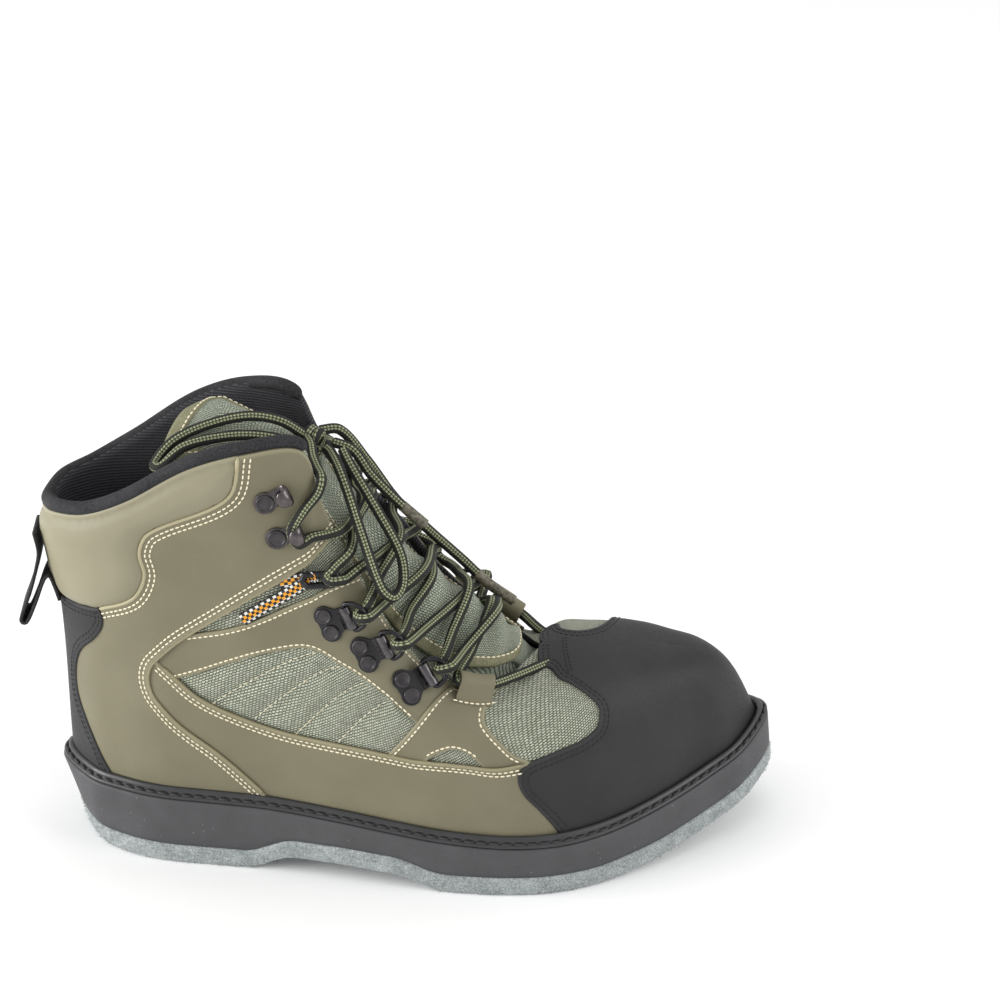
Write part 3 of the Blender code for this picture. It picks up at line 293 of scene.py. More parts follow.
    @staticmethod
    def _bezier(controls: Array, v: Array) -> Array:
        """Points at v on sections given by their control points."""
        w = 1 - v
        shares = np.stack([w ** 3, 3 * w * w * v, 3 * w * v * v, v ** 3], axis=-1)
        return (shares[..., None] * controls).sum(axis=-2)

    def _at(self, table: Array, u: Array) -> Array:
        """Row of a table at signed u, which runs on past the toe to the other side."""
        u = np.asarray(u, float)
        u = np.where(u > 1, u - 2, np.where(u < -1, u + 2, u))
        f = (u + 1) / 2 * self.steps
        i = np.clip(f.astype(int), 0, self.steps - 1)
        share = (f - i).reshape(f.shape + (1,) * (table.ndim - 1))
        return table[i] * (1 - share) + table[i + 1] * share

    def ledge(self, x: Array) -> Array:
        """Height of the midsole's top, where the upper and the welt stand."""
        table = np.array(self.heights, float)
        return smooth(table[:, 0], table[:, 1:], x)[..., 1]

    def floor_gap(self, x: Array) -> Array:
        """Height of the felt's underside over the floor, with its steps a little rounded."""
        table = np.array(self.heights, float)
        shifts = np.linspace(-4.0, 4.0, 9)
        return sum(np.interp(x + d, table[:, 0], table[:, 1]) for d in shifts) / len(shifts)

    def inward_at(self, u: Array) -> Array:
        """Direction in plan from the sole's edge inwards."""
        return self._at(self.inward, u)

    def outline(self, u: Array, inset: Array | float) -> Array:
        """Sole outline in plan, moved inwards."""
        return self._at(self.rim, u) + self.inward_at(u) * np.asarray(inset)[..., None]

    def skin(self, u: Array, v: Array) -> Array:
        """Point on the outside of the upper."""
        return self._bezier(self._at(self.controls, u), np.asarray(v, float))

    def normal(self, u: Array, v: Array) -> Array:
        """Outward unit normal of the upper."""
        u, v = np.broadcast_arrays(np.asarray(u, float), np.asarray(v, float))
        du, dv = 0.003, 0.004
        ahead = self.skin(u + du, v) - self.skin(u - du, v)
        up = self.skin(u, np.minimum(v + dv, 1.0)) - self.skin(u, np.maximum(v - dv, 0.0))
        cross = np.cross(up, ahead)
        flat = np.linalg.norm(cross, axis=-1) < 1e-3
        cross[flat] = (0.0, 0.0, 1.0)
        return unit(cross)

    def tall_at(self, u: Array) -> Array:
        """Length of the section at u."""
        return self._at(self.tall, u)

    def flat(self, u: Array, v: Array) -> Array:
        """Place of a point of the upper in a flat pattern, in millimetres."""
        u, v = np.asarray(u, float), np.asarray(v, float)
        return np.stack([u * self.span, v * self.tall_at(u)], axis=-1)

    def unflat(self, places: Array) -> tuple[Array, Array]:
        """u and v of places in a flat pattern."""
        u = places[..., 0] / self.span
        return u, places[..., 1] / self.tall_at(u)

    def relief(self, u: Array, v: Array) -> Array:
        """Height of the soft folds of the leather at u and v."""
        side = np.where(np.abs(u) > 1, 2 - np.abs(u), np.abs(u))
        places = self.flat(-side, v)
        total = np.zeros(len(places))
        for depth, wide, points in self.folds:
            rows = np.array(points)
            line = curve_through(self.flat(-rows[:, 0], rows[:, 1]), 6.0)
            total += depth * np.exp(-(distance_to_line(places, line, False) / wide) ** 2)
        return total

    def lifted(self, u: Array, v: Array, lift: Array | float) -> Array:
        """Point at a height over the skin."""
        raised = np.broadcast_to(np.asarray(lift, float), np.shape(u))
        return self.skin(u, v) + self.normal(u, v) * raised[..., None]


def mapped_grid(columns: int, rows: int, form: Form, sheet: Form | None = None) -> BMesh:
    """Grid laid on a form, with its flat places as UVs.

    Args:
        columns: Steps along the grid.
        rows: Steps across the grid.
        form: Table points for shares along and across.
        sheet: Flat places in millimetres for shares along and across.

    Returns:
        The shape, not yet merged or closed.
    """
    shape = bmesh.new()
    middle = Matrix.Translation((0.5, 0.5, 0.0))
    bmesh.ops.create_grid(shape, x_segments=columns, y_segments=rows, size=0.5, matrix=middle)
    shares = np.array([vert.co[:2] for vert in shape.verts])
    points = place(form(shares[:, 0], shares[:, 1]))
    if sheet is not None:
        flat = sheet(shares[:, 0], shares[:, 1])
        layer = shape.loops.layers.uv.new("sheet")
        shape.verts.index_update()
        for face in shape.faces:
            for loop in face.loops:
                loop[layer].uv = flat[loop.vert.index]
    for vert, point in zip(shape.verts, points):
        vert.co = point
    return shape


def close_shape(shape: BMesh, fill: bool = True) -> BMesh:
    """Merge the seams of a shape, fill its ends and turn its faces outwards."""
    bmesh.ops.remove_doubles(shape, verts=shape.verts[:], dist=MERGE)
    bmesh.ops.dissolve_degenerate(shape, dist=MERGE / 4, edges=shape.edges[:])
    if fill:
        ends = [edge for edge in shape.edges if edge.is_boundary]
        bmesh.ops.holes_fill(shape, edges=ends, sides=0)
    bmesh.ops.recalc_face_normals(shape, faces=shape.faces[:])
    return shape


def baked(name: str, shape: BMesh) -> bpy.types.Mesh:
    """Mesh data of a shape, which is freed."""
    data = bpy.data.meshes.new(name)
    shape.to_mesh(data)
    shape.free()
    return data


def show(name: str, data: bpy.types.ID) -> Object:
    """New object with some data, linked into the scene."""
    made = bpy.data.objects.new(name, data)
    bpy.context.scene.collection.objects.link(made)
    return made


def add_piece(name: str, shape: BMesh, finish: Material, nodes: Sequence[str] = (),
              sharp: float | None = None, more: Sequence[Material] = ()) -> Object:
    """Make an object of a shape and put it on the boot.

    Args:
        name: Name of the piece.
        shape: Finished shape, which is freed.
        finish: Material of the piece.
        nodes: CAD nodes that the piece stands for.
        sharp: Angle in degrees from which an edge is sharp.
        more: Materials of the faces with a higher material index.

    Returns:
        The new object.
    """
    return add_mesh(name, baked(name, shape), finish, nodes, sharp, more)


def add_mesh(name: str, data: bpy.types.Mesh, finish: Material, nodes: Sequence[str] = (),
             sharp: float | None = None, more: Sequence[Material] = ()) -> Object:
    """Make an object of mesh data and put it on the boot, as add_piece does."""
    data.shade_smooth()
    if sharp is not None:
        data.set_sharp_from_angle(angle=math.radians(sharp))
    for material in (finish, *more):
        data.materials.append(material)
    if "edge" not in data.attributes:
        far = data.attributes.new("edge", "FLOAT", "POINT")
        far.data.foreach_set("value", np.full(len(data.vertices), FAR_FROM_EDGE, np.float32))
    piece = show(name, data)
    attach(piece, BODY)
    if nodes:
        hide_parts(*nodes)
    LOG.info("%s: %d faces", name, len(data.polygons))
    return piece


def frames_along(points: Array, first: Array, settle: float = 0.0) -> tuple[Array, Array, Array]:
    """Directions along a line that turn with it and don't twist.

    Args:
        points: Points of the line.
        first: Direction that the first side direction is taken from.
        settle: Share by which the side direction is drawn back to the first one at each point.

    Returns:
        Unit directions along, to the side and across, a row for each point.
    """
    ahead = unit(np.gradient(points, axis=0))
    sides = []
    side = np.asarray(first, float)
    for way in ahead:
        side = side + settle * first
        side = side - way * side.dot(way)
        side = side / np.linalg.norm(side)
        sides.append(side)
    sides = np.array(sides)
    return ahead, sides, np.cross(ahead, sides)


def tube(points: Array, radius: float, around: int, first: Sequence[float], closed: bool = False,
         ends: float = 0.0, settle: float = 0.0) -> BMesh:
    """Round tube along a line, with the length along it and the angle round it as UVs.

    Args:
        points: Points of the middle line.
        radius: Radius of the tube.
        around: Steps round the tube.
        first: Direction of the tube's seam at its start.
        closed: Whether the line is a ring.
        ends: Length over which the ends are rounded off.
        settle: Share by which the seam is drawn back to that direction at each point.

    Returns:
        The closed shape.
    """
    if closed:
        ring = np.vstack([points, points[:1]])
        ahead = unit(np.roll(points, -1, axis=0) - np.roll(points, 1, axis=0))
        up = unit(np.cross(np.asarray(first, float), ahead))
        side = np.cross(ahead, up)
        side, up = np.vstack([side, side[:1]]), np.vstack([up, up[:1]])
    else:
        ring = points
        _, side, up = frames_along(points, np.asarray(first, float), settle)
    run = lengths(ring)
    thick = np.full(len(ring), radius)
    if ends > 0.0:
        near = np.minimum(run, run[-1] - run)
        share = np.clip(near / ends, 0.0, 1.0)
        thick = radius * np.sqrt(np.clip(1 - (1 - share) ** 2, 0.02, 1.0))

    def form(a: Array, b: Array) -> Array:
        """Points of the tube."""
        i = step_at(a, len(ring) - 1)
        turn = b * 2 * math.pi
        ray = side[i] * np.cos(turn)[:, None] + up[i] * np.sin(turn)[:, None]
        return ring[i] + ray * thick[i][:, None]

    def sheet(a: Array, b: Array) -> Array:
        """Length along the tube and share of the way round it."""
        return np.stack([run[step_at(a, len(ring) - 1)], b], axis=1)

    return close_shape(mapped_grid(len(ring) - 1, around, form, sheet), fill=not closed)


def sweep(middle: Array, across: Array, out: Array, ring: Array, run: Array) -> BMesh:
    """Closed strip: a ring of places that is carried along a line.

    Args:
        middle: Points of the line.
        across: Direction across the strip at each point.
        out: Direction out of the strip at each point.
        ring: Places across and out.
        run: Length along the strip at each point, for its UVs.

    Returns:
        The closed shape.
    """

    def form(a: Array, b: Array) -> Array:
        """Points of the strip."""
        i, k = step_at(a, len(middle) - 1), step_at(b, len(ring)) % len(ring)
        return middle[i] + across[i] * ring[k, :1] + out[i] * ring[k, 1:]

    def sheet(a: Array, b: Array) -> Array:
        """Length along the strip and place across it."""
        i, k = step_at(a, len(middle) - 1), step_at(b, len(ring)) % len(ring)
        return np.stack([run[i], ring[k, 0] - ring[:, 0].min()], axis=1)

    return close_shape(mapped_grid(len(middle) - 1, len(ring), form, sheet))


def linear(colour: str) -> tuple[float, ...]:
    """Linear colour of an sRGB hex value."""
    parts = [int(colour[k:k + 2], 16) / 255 for k in (1, 3, 5)]
    return (*(p / 12.92 if p <= 0.04045 else ((p + 0.055) / 1.055) ** 2.4 for p in parts), 1.0)


def feed(tree: Tree, node: bpy.types.Node, values: dict) -> None:
    """Set a node's properties and inputs, and link the inputs that are fed by a node or a socket.

    Args:
        tree: Node tree of the material.
        node: Node to set.
        values: Values by the name of a property, or by the name or number of an input. A node feeds an
            input from its first socket. The key stops gives the places and hex colours of a colour ramp.
    """
    for key, value in values.items():
        if key == "stops":
            marks = node.color_ramp.elements
            while len(marks) < len(value):
                marks.new(0.5)
            for mark, (at, colour) in zip(marks, value):
                mark.position = at
                mark.color = linear(colour)
        elif isinstance(key, str) and hasattr(node, key):
            setattr(node, key, value)
        elif isinstance(value, (bpy.types.Node, bpy.types.NodeSocket)):
            socket = value.outputs[0] if isinstance(value, bpy.types.Node) else value
            tree.links.new(socket, node.inputs[key])
        else:
            node.inputs[key].default_value = value


def add_node(tree: Tree, kind: str, values: dict | None = None) -> bpy.types.Node:
    """Add a shader node with its settings and links.

    Args:
        tree: Node tree of the material.
        kind: Type name of the node, without its first two words.
        values: Settings and links, as feed takes them.

    Returns:
        The new node.
    """
    node = tree.nodes.new("ShaderNode" + kind)
    feed(tree, node, values or {})
    return node


@dataclass(frozen=True)
class Finish:
    """Finish of some pieces: the name of its material and what feeds its shader."""

    name: str

    def shade(self, tree: Tree) -> dict:
        """Inputs of the principled shader."""
        raise NotImplementedError(self.name)

    def make(self) -> Material:
        """Material of this finish."""
        made = bpy.data.materials.new(self.name)
        made.use_nodes = True
        tree = made.node_tree
        feed(tree, tree.nodes["Principled BSDF"], self.shade(tree))
        return made


@dataclass(frozen=True)
class Leather(Finish):
    """Waxed split leather, buffed: soft cloudy tone, fine tight grain, and paler edges, worn and with a
    painted highlight.
    """

    deep: str
    middle: str
    pale: str
    # Colour of the paler edge band: part wear, part a painted highlight
    rubbed_and_highlit: str
    roughness: float
    cut_edge: str = "#2c2a24"
    cloud_mm: float = 26.0
    grain_mm: float = 0.9
    pore_mm: float = 0.9
    grain_depth: float = 0.10

    def shade(self, tree: Tree) -> dict:
        """Cloudy tone with cut edges and paler edges that are part wear and part painted highlight, and a
        grain with pores.
        """
        where = add_node(tree, "TexCoord").outputs["Object"]
        cloud, grain = (add_node(tree, "TexNoise", {"Scale": 1000 / size, "Detail": detail, "Vector": where})
                        for size, detail in ((self.cloud_mm, 4.0), (self.grain_mm, 3.0)))
        pores = add_node(tree, "TexVoronoi", {"Scale": 1000 / self.pore_mm, "Vector": where})
        blend = add_node(tree, "Math", {"operation": "MULTIPLY_ADD", 0: grain, 1: 0.35, 2: cloud})
        stops = ((0.45, self.deep), (0.68, self.middle), (0.95, self.pale))
        tone = add_node(tree, "ValToRGB", {"stops": stops, "Fac": blend})
        edge = add_node(tree, "Attribute", {"attribute_name": "edge"}).outputs["Fac"]
        # Paler band just inside the edge, over the rolled bead: part wear, part a painted highlight
        edge_wear_and_highlight = add_node(tree, "MapRange", {0: edge, 1: 0.7, 2: 2.0, 3: 0.5, 4: 0.0})
        with_wear_and_highlight = add_node(tree, "Mix", {"data_type": "RGBA", 0: edge_wear_and_highlight, 6: tone, 7: linear(self.rubbed_and_highlit)})
        cut = add_node(tree, "MapRange", {0: edge, 1: 0.02, 2: 0.25, 3: 0.7, 4: 0.0})
        seam = add_node(tree, "Mix", {"data_type": "RGBA", 0: cut, 6: with_wear_and_highlight.outputs[2],
                                      7: linear(self.cut_edge)})
        height = add_node(tree, "Math", {"operation": "MULTIPLY_ADD", 0: pores, 1: 0.4, 2: grain})
        bump = add_node(tree, "Bump", {"Strength": 0.5, "Distance": self.grain_depth * MM, "Height": height})
        low, high = self.roughness - 0.07, self.roughness + 0.08
        gloss = add_node(tree, "MapRange", {0: grain, 1: 0.3, 2: 0.7, 3: low, 4: high})
        return {"Base Color": seam.outputs[2], "Normal": bump, "Roughness": gloss, "Specular IOR Level": 0.35}


@dataclass(frozen=True)
class AirMesh(Finish):
    """Knitted spacer mesh: rows of pale plump loops with dark gaps between them."""

    gap: str
    loop: str
    bright: str
    wide_mm: float
    row_mm: float
    turn: float

    def shade(self, tree: Tree) -> dict:
        """Wandering rows of loops, laid by the piece's flat places."""
        flat = add_node(tree, "UVMap", {"uv_map": "sheet"})
        turned = add_node(tree, "Mapping", {"Vector": flat, "Rotation": (0.0, 0.0, math.radians(self.turn))})
        wander = add_node(tree, "TexNoise", {"Scale": 0.4, "Detail": 2.0, "Vector": turned}).outputs["Color"]
        shift = add_node(tree, "VectorMath", {"operation": "SCALE", 0: wander, "Scale": 0.5})
        moved = add_node(tree, "VectorMath", {"operation": "ADD", 0: turned, 1: shift})
        knit = add_node(tree, "TexBrick", {
            "Vector": moved, "Scale": 1.0, "Brick Width": self.wide_mm, "Row Height": self.row_mm,
            "Mortar Size": self.row_mm * 0.34, "Mortar Smooth": 1.0, "Bias": 0.1, "Color1": linear(self.loop),
            "Color2": linear(self.bright), "Mortar": linear(self.gap)})
        yarn = add_node(tree, "TexNoise", {"Scale": 2.2, "Detail": 2.0, "Vector": flat})
        light = add_node(tree, "MapRange", {0: yarn, 1: 0.3, 2: 0.7, 3: 0.72, 4: 1.16})
        tone = add_node(tree, "VectorMath", {"operation": "SCALE", 0: knit, "Scale": light})
        bump = add_node(tree, "Bump", {"Strength": 0.9, "Distance": 0.5 * MM, "invert": True,
                                       "Height": knit.outputs["Fac"]})
        return {"Base Color": tone, "Normal": bump, "Roughness": 0.82, "Specular IOR Level": 0.25,
                "Sheen Weight": 0.15}


@dataclass(frozen=True)
class Rubber(Finish):
    """Moulded rubber: matt dark skin with faint flow, dust and small pale specks."""

    deep: str
    pale: str
    roughness: float
    fleck: str
    coat: float = 0.0
    flow_mm: float = 14.0
    pit_mm: float = 1.1
    speck_mm: float = 5.0

    def shade(self, tree: Tree) -> dict:
        """Flowing tone with specks, and fine pits."""
        where = add_node(tree, "TexCoord").outputs["Object"]
        flow, pits = (add_node(tree, "TexNoise", {"Scale": 1000 / size, "Detail": detail, "Vector": where})
                      for size, detail in ((self.flow_mm, 5.0), (self.pit_mm, 2.0)))
        tone = add_node(tree, "ValToRGB", {"stops": ((0.3, self.deep), (0.7, self.pale)), "Fac": flow})
        specks = add_node(tree, "TexVoronoi", {"Scale": 1000 / self.speck_mm, "Vector": where})
        dot = add_node(tree, "MapRange", {0: specks, 1: 0.05, 2: 0.085, 3: 0.5, 4: 0.0})
        mixed = add_node(tree, "Mix", {"data_type": "RGBA", 0: dot, 6: tone, 7: linear(self.fleck)})
        bump = add_node(tree, "Bump", {"Strength": 0.35, "Distance": 0.12 * MM, "Height": pits})
        low, high = self.roughness - 0.08, self.roughness + 0.08
        gloss = add_node(tree, "MapRange", {0: pits, 1: 0.3, 2: 0.7, 3: low, 4: high})
        return {"Base Color": mixed.outputs[2], "Normal": bump, "Roughness": gloss, "Coat Weight": self.coat,
                "Coat Roughness": 0.3}


@dataclass(frozen=True)
class Felt(Finish):
    """Pressed wool and nylon felt: pale blue-grey fibres matted with darker ones."""

    name: str = "pressed_felt"
    dark: str = "#757c7d"
    middle: str = "#939999"
    light: str = "#b9bebe"
    # Real fibres are too fine to show, so they are drawn as coarse as this
    fibre_mm: float = 0.85
    tuft_mm: float = 6.0

    def shade(self, tree: Tree) -> dict:
        """Matted fibres in soft tufts."""
        where = add_node(tree, "TexCoord").outputs["Object"]
        mat = add_node(tree, "TexNoise", {"Scale": 1000 / self.fibre_mm, "Detail": 4.0, "Roughness": 0.7,
                                          "Vector": where})
        tufts = add_node(tree, "TexNoise", {"Scale": 1000 / self.tuft_mm, "Detail": 2.0, "Vector": where})
        blend = add_node(tree, "Math", {"operation": "MULTIPLY_ADD", 0: tufts, 1: 0.25, 2: mat})
        stops = ((0.46, self.dark), (0.62, self.middle), (0.80, self.light))
        tone = add_node(tree, "ValToRGB", {"stops": stops, "Fac": blend})
        bump = add_node(tree, "Bump", {"Strength": 0.8, "Distance": 0.5 * MM, "Height": mat})
        return {"Base Color": tone, "Normal": bump, "Roughness": 0.95, "Specular IOR Level": 0.15,
                "Sheen Weight": 0.3}


@dataclass(frozen=True)
class Lining(Finish):
    """Black knitted lining: soft ribs whose crowns are painted paler as a highlight."""

    name: str = "ribbed_knit_lining"
    deep: str = "#303033"
    # Paler colour of the rib crowns: a painted highlight
    crown: str = "#515155"
    rib_mm: float = 1.25

    def shade(self, tree: Tree) -> dict:
        """Ribs of uneven yarn, laid by the piece's flat places, with a painted highlight on their crowns."""
        flat = add_node(tree, "UVMap", {"uv_map": "sheet"})
        ribs = add_node(tree, "TexWave", {
            "Scale": 2 * math.pi / self.rib_mm / 20, "Distortion": 1.2, "Detail": 1.0,
            "bands_direction": "Y", "Vector": flat}).outputs["Fac"]
        yarn = add_node(tree, "TexNoise", {"Scale": 1.1, "Detail": 3.0, "Vector": flat})
        blend = add_node(tree, "Math", {"operation": "MULTIPLY", 0: ribs, 1: yarn})
        # Dark troughs to pale crowns: the crowns carry a painted highlight
        tone = add_node(tree, "ValToRGB", {"stops": ((0.1, self.deep), (0.6, self.crown)), "Fac": blend})
        bump = add_node(tree, "Bump", {"Strength": 0.7, "Distance": 0.4 * MM, "Height": blend})
        return {"Base Color": tone, "Normal": bump, "Roughness": 0.9, "Specular IOR Level": 0.2}


@dataclass(frozen=True)
class Metal(Finish):
    """Blackened steel: smoky lacquer over pressed sheet or wire, with soft mirror highlights."""

    deep: str
    pale: str
    roughness: float
    metallic: float
    coat: float = 0.0
    specular: float = 0.5
    haze_mm: float = 3.0

    def shade(self, tree: Tree) -> dict:
        """Hazy tone and gloss."""
        where = add_node(tree, "TexCoord").outputs["Object"]
        haze = add_node(tree, "TexNoise", {"Scale": 1000 / self.haze_mm, "Detail": 4.0, "Vector": where})
        tone = add_node(tree, "ValToRGB", {"stops": ((0.35, self.deep), (0.7, self.pale)), "Fac": haze})
        low, high = self.roughness - 0.06, self.roughness + 0.1
        gloss = add_node(tree, "MapRange", {0: haze, 1: 0.3, 2: 0.7, 3: low, 4: high})
        return {"Base Color": tone, "Roughness": gloss, "Metallic": self.metallic, "Coat Weight": self.coat,
                "Specular IOR Level": self.specular, "Coat Roughness": 0.12}


@dataclass(frozen=True)
class LaceBraid(Finish):
    """Round polyester braid: black ground with pairs of pale green rows of slanted stitches."""

    name: str = "round_braided_lace"
    ground: str = "#252523"
    picks: str = "#9ba27c"
    rows_at: tuple[float, ...] = (0.044, 0.956, 0.289, 0.377, 0.623, 0.711)
    row_wide: float = 0.036
    pitch_mm: float = 1.5
    slant_mm: float = 14.0

    def shade(self, tree: Tree) -> dict:
        """Rows of picks, laid by the length along the lace and the angle round it."""
        flat = add_node(tree, "UVMap", {"uv_map": "sheet"})
        parts = add_node(tree, "SeparateXYZ", {0: flat}).outputs
        stripe = slant = None
        for at in self.rows_at:
            off = add_node(tree, "Math", {"operation": "SUBTRACT", 0: parts["Y"], 1: at})
            gap = add_node(tree, "Math", {"operation": "ABSOLUTE", 0: off})
            near = add_node(tree, "MapRange", {0: gap, 1: self.row_wide * 0.6, 2: self.row_wide,
                                               3: 1.0, 4: 0.0})
            if stripe is None:
                stripe, slant = near, gap
            else:
                stripe = add_node(tree, "Math", {"operation": "MAXIMUM", 0: stripe, 1: near})
                slant = add_node(tree, "Math", {"operation": "MINIMUM", 0: slant, 1: gap})
        lean = add_node(tree, "Math", {"operation": "MULTIPLY_ADD", 0: slant, 1: self.slant_mm,
                                       2: parts["X"]})
        turns = add_node(tree, "Math", {"operation": "MULTIPLY", 0: lean, 1: 2 * math.pi / self.pitch_mm})
        wave = add_node(tree, "Math", {"operation": "SINE", 0: turns})
        pick = add_node(tree, "MapRange", {0: wave, 1: -0.75, 2: 0.1, 3: 0.12, 4: 1.0})
        shown = add_node(tree, "Math", {"operation": "MULTIPLY", 0: stripe, 1: pick})
        tone = add_node(tree, "Mix", {"data_type": "RGBA", 0: shown, 6: linear(self.ground),
                                      7: linear(self.picks)})
        bump = add_node(tree, "Bump", {"Strength": 0.8, "Distance": 0.3 * MM, "Height": pick})
        return {"Base Color": tone.outputs[2], "Normal": bump, "Roughness": 0.75, "Specular IOR Level": 0.3}


@dataclass(frozen=True)
class CheckWebbing(Finish):
    """Narrow woven webbing: black edges, black and white checks, and orange checks in the middle."""

    name: str = "checked_webbing"
    black: str = "#1b1b1c"
    white: str = "#dddcd6"
    orange: str = "#e39a1f"
    cell_mm: float = 1.4
    wide_mm: float = 5.8

    def shade(self, tree: Tree) -> dict:
        """Bands and checks, laid by the length along the webbing and the place across it."""
        flat = add_node(tree, "UVMap", {"uv_map": "sheet"})
        across = add_node(tree, "SeparateXYZ", {0: flat}).outputs["Y"]
        share = add_node(tree, "Math", {"operation": "DIVIDE", 0: across, 1: self.wide_mm})
        stops = ((0.0, self.black), (0.07, self.white), (0.275, self.orange), (0.725, self.white),
                 (0.93, self.black))
        bands = add_node(tree, "ValToRGB", {"stops": stops, "Fac": share})
        bands.color_ramp.interpolation = "CONSTANT"
        shift = add_node(tree, "VectorMath", {"operation": "ADD", 0: flat, 1: (0.0, -0.2, 0.01)})
        checks = add_node(tree, "TexChecker", {"Scale": 1 / self.cell_mm, "Vector": shift}).outputs["Fac"]
        tone = add_node(tree, "Mix", {"data_type": "RGBA", 0: checks, 6: bands, 7: linear(self.black)})
        weave = add_node(tree, "TexNoise", {"Scale": 1.8, "Detail": 1.0, "Vector": flat})
        bump = add_node(tree, "Bump", {"Strength": 0.6, "Distance": 0.2 * MM, "Height": weave})
        return {"Base Color": tone.outputs[2], "Normal": bump, "Roughness": 0.7}


@dataclass(frozen=True)
class Textile(Finish):
    """Close woven tape, foam cloth or plastic: a fine weave or grain over one dyed tone."""

    deep: str
    pale: str
    thread_mm: float
    roughness: float
    depth: float = 0.2
    cloud_mm: float = 12.0

    def shade(self, tree: Tree) -> dict:
        """Threads over a soft cloud of tone."""
        where = add_node(tree, "TexCoord").outputs["Object"]
        thread, cloud = (add_node(tree, "TexNoise", {"Scale": 1000 / size, "Detail": 2.0, "Vector": where})
                         for size in (self.thread_mm, self.cloud_mm))
        blend = add_node(tree, "Math", {"operation": "MULTIPLY_ADD", 0: cloud, 1: 0.5, 2: thread})
        tone = add_node(tree, "ValToRGB", {"stops": ((0.55, self.deep), (0.95, self.pale)), "Fac": blend})
        bump = add_node(tree, "Bump", {"Strength": 0.6, "Distance": self.depth * MM, "Height": thread})
        return {"Base Color": tone, "Normal": bump, "Roughness": self.roughness, "Specular IOR Level": 0.3}


@dataclass(frozen=True)
class Paper(Finish):
    """Matt white studio paper, with a tooth that hardly shows."""

    name: str = "white_studio_paper"
    deep: str = "#fafafa"
    pale: str = "#fdfdfd"
    tooth_mm: float = 10 / 9

    def shade(self, tree: Tree) -> dict:
        """Faint tooth of the paper."""
        where = add_node(tree, "TexCoord").outputs["Object"]
        tooth = add_node(tree, "TexNoise", {"Scale": 1000 / self.tooth_mm, "Vector": where})
        tone = add_node(tree, "ValToRGB", {"stops": ((0.3, self.deep), (0.7, self.pale)), "Fac": tooth})
        return {"Base Color": tone, "Roughness": 0.9, "Specular IOR Level": 0.1}


def made_of(finish: Finish) -> Material:
    """Dataclass field that holds the material of a finish."""
    return field(default_factory=finish.make)


@dataclass
class Finishes:
    """Every material of the boot."""

    olive: Material = made_of(Leather(
        "olive_waxed_leather", "#706b55", "#746f59", "#79745e", "#9c967b", 0.56))
    pale: Material = made_of(Leather(
        "pale_olive_collar_leather", "#858069", "#8a856e", "#8f8a73", "#a09b83", 0.5, cloud_mm=34.0))
    # Pale copy of the olive leather for the rolled edge at the collar seam: a painted highlight on its
    # rounded top
    rolled: Material = made_of(Leather(
        "rolled_edge_leather", "#a29a7b", "#a8a082", "#aea688", "#b5ad90", 0.45))
    # Lighter copy of the olive leather for the folded edges of the quarter and foxing: a painted highlight
    folded: Material = made_of(Leather(
        "folded_edge_leather", "#8b8468", "#90896d", "#958e72", "#9d967a", 0.5))
    black: Material = made_of(Leather(
        "black_oiled_leather", "#232324", "#272728", "#2c2c2d", "#373738", 0.58, grain_mm=1.1))
    mesh: Material = made_of(AirMesh(
        "grey_green_air_mesh", "#505648", "#aeb29c", "#cdd1bc", 1.7, 1.1, 28.0))
    tongue_mesh: Material = made_of(AirMesh(
        "tongue_air_mesh", "#566053", "#acb59d", "#c8ceb9", 1.3, 0.9, 10.0))
    lining: Material = made_of(Lining())
    rubber: Material = made_of(Rubber("matt_midsole_rubber", "#3f3f41", "#474749", 0.6, "#8d8c8b"))
    welt: Material = made_of(Rubber("storm_welt_rubber", "#242425", "#2e2e30", 0.4, "#5a595b", coat=0.25))
    felt: Material = made_of(Felt())
    plate: Material = made_of(Metal("black_lacquered_plate", "#171719", "#202022", 0.38, 0.0, coat=0.2,
                                    specular=0.25))
    rivet: Material = made_of(Metal("gunmetal_rivet", "#3a383a", "#4b484a", 0.3, 0.7))
    bar: Material = made_of(Metal("polished_black_bar", "#4b494b", "#625f61", 0.22, 0.8))
    wire: Material = made_of(Metal("smoked_steel_wire", "#2b2b2d", "#3d3c3f", 0.28, 0.85))
    hook: Material = made_of(Metal("gunmetal_hook", "#4a4546", "#645d5e", 0.17, 0.85))
    lace: Material = made_of(LaceBraid())
    check: Material = made_of(CheckWebbing())
    tape: Material = made_of(Textile("black_webbing_tape", "#1d1d1f", "#353537", 0.9, 0.8))
    binding: Material = made_of(Textile("olive_binding_tape", "#6a694c", "#85836a", 0.8, 0.75))
    insole: Material = made_of(Textile("foam_insole_cloth", "#242426", "#3a3a3c", 1.2, 0.9))
    aglet: Material = made_of(Textile("heat_shrunk_lace_tip", "#45423a", "#7b7563", 1.5, 0.35, depth=0.05))


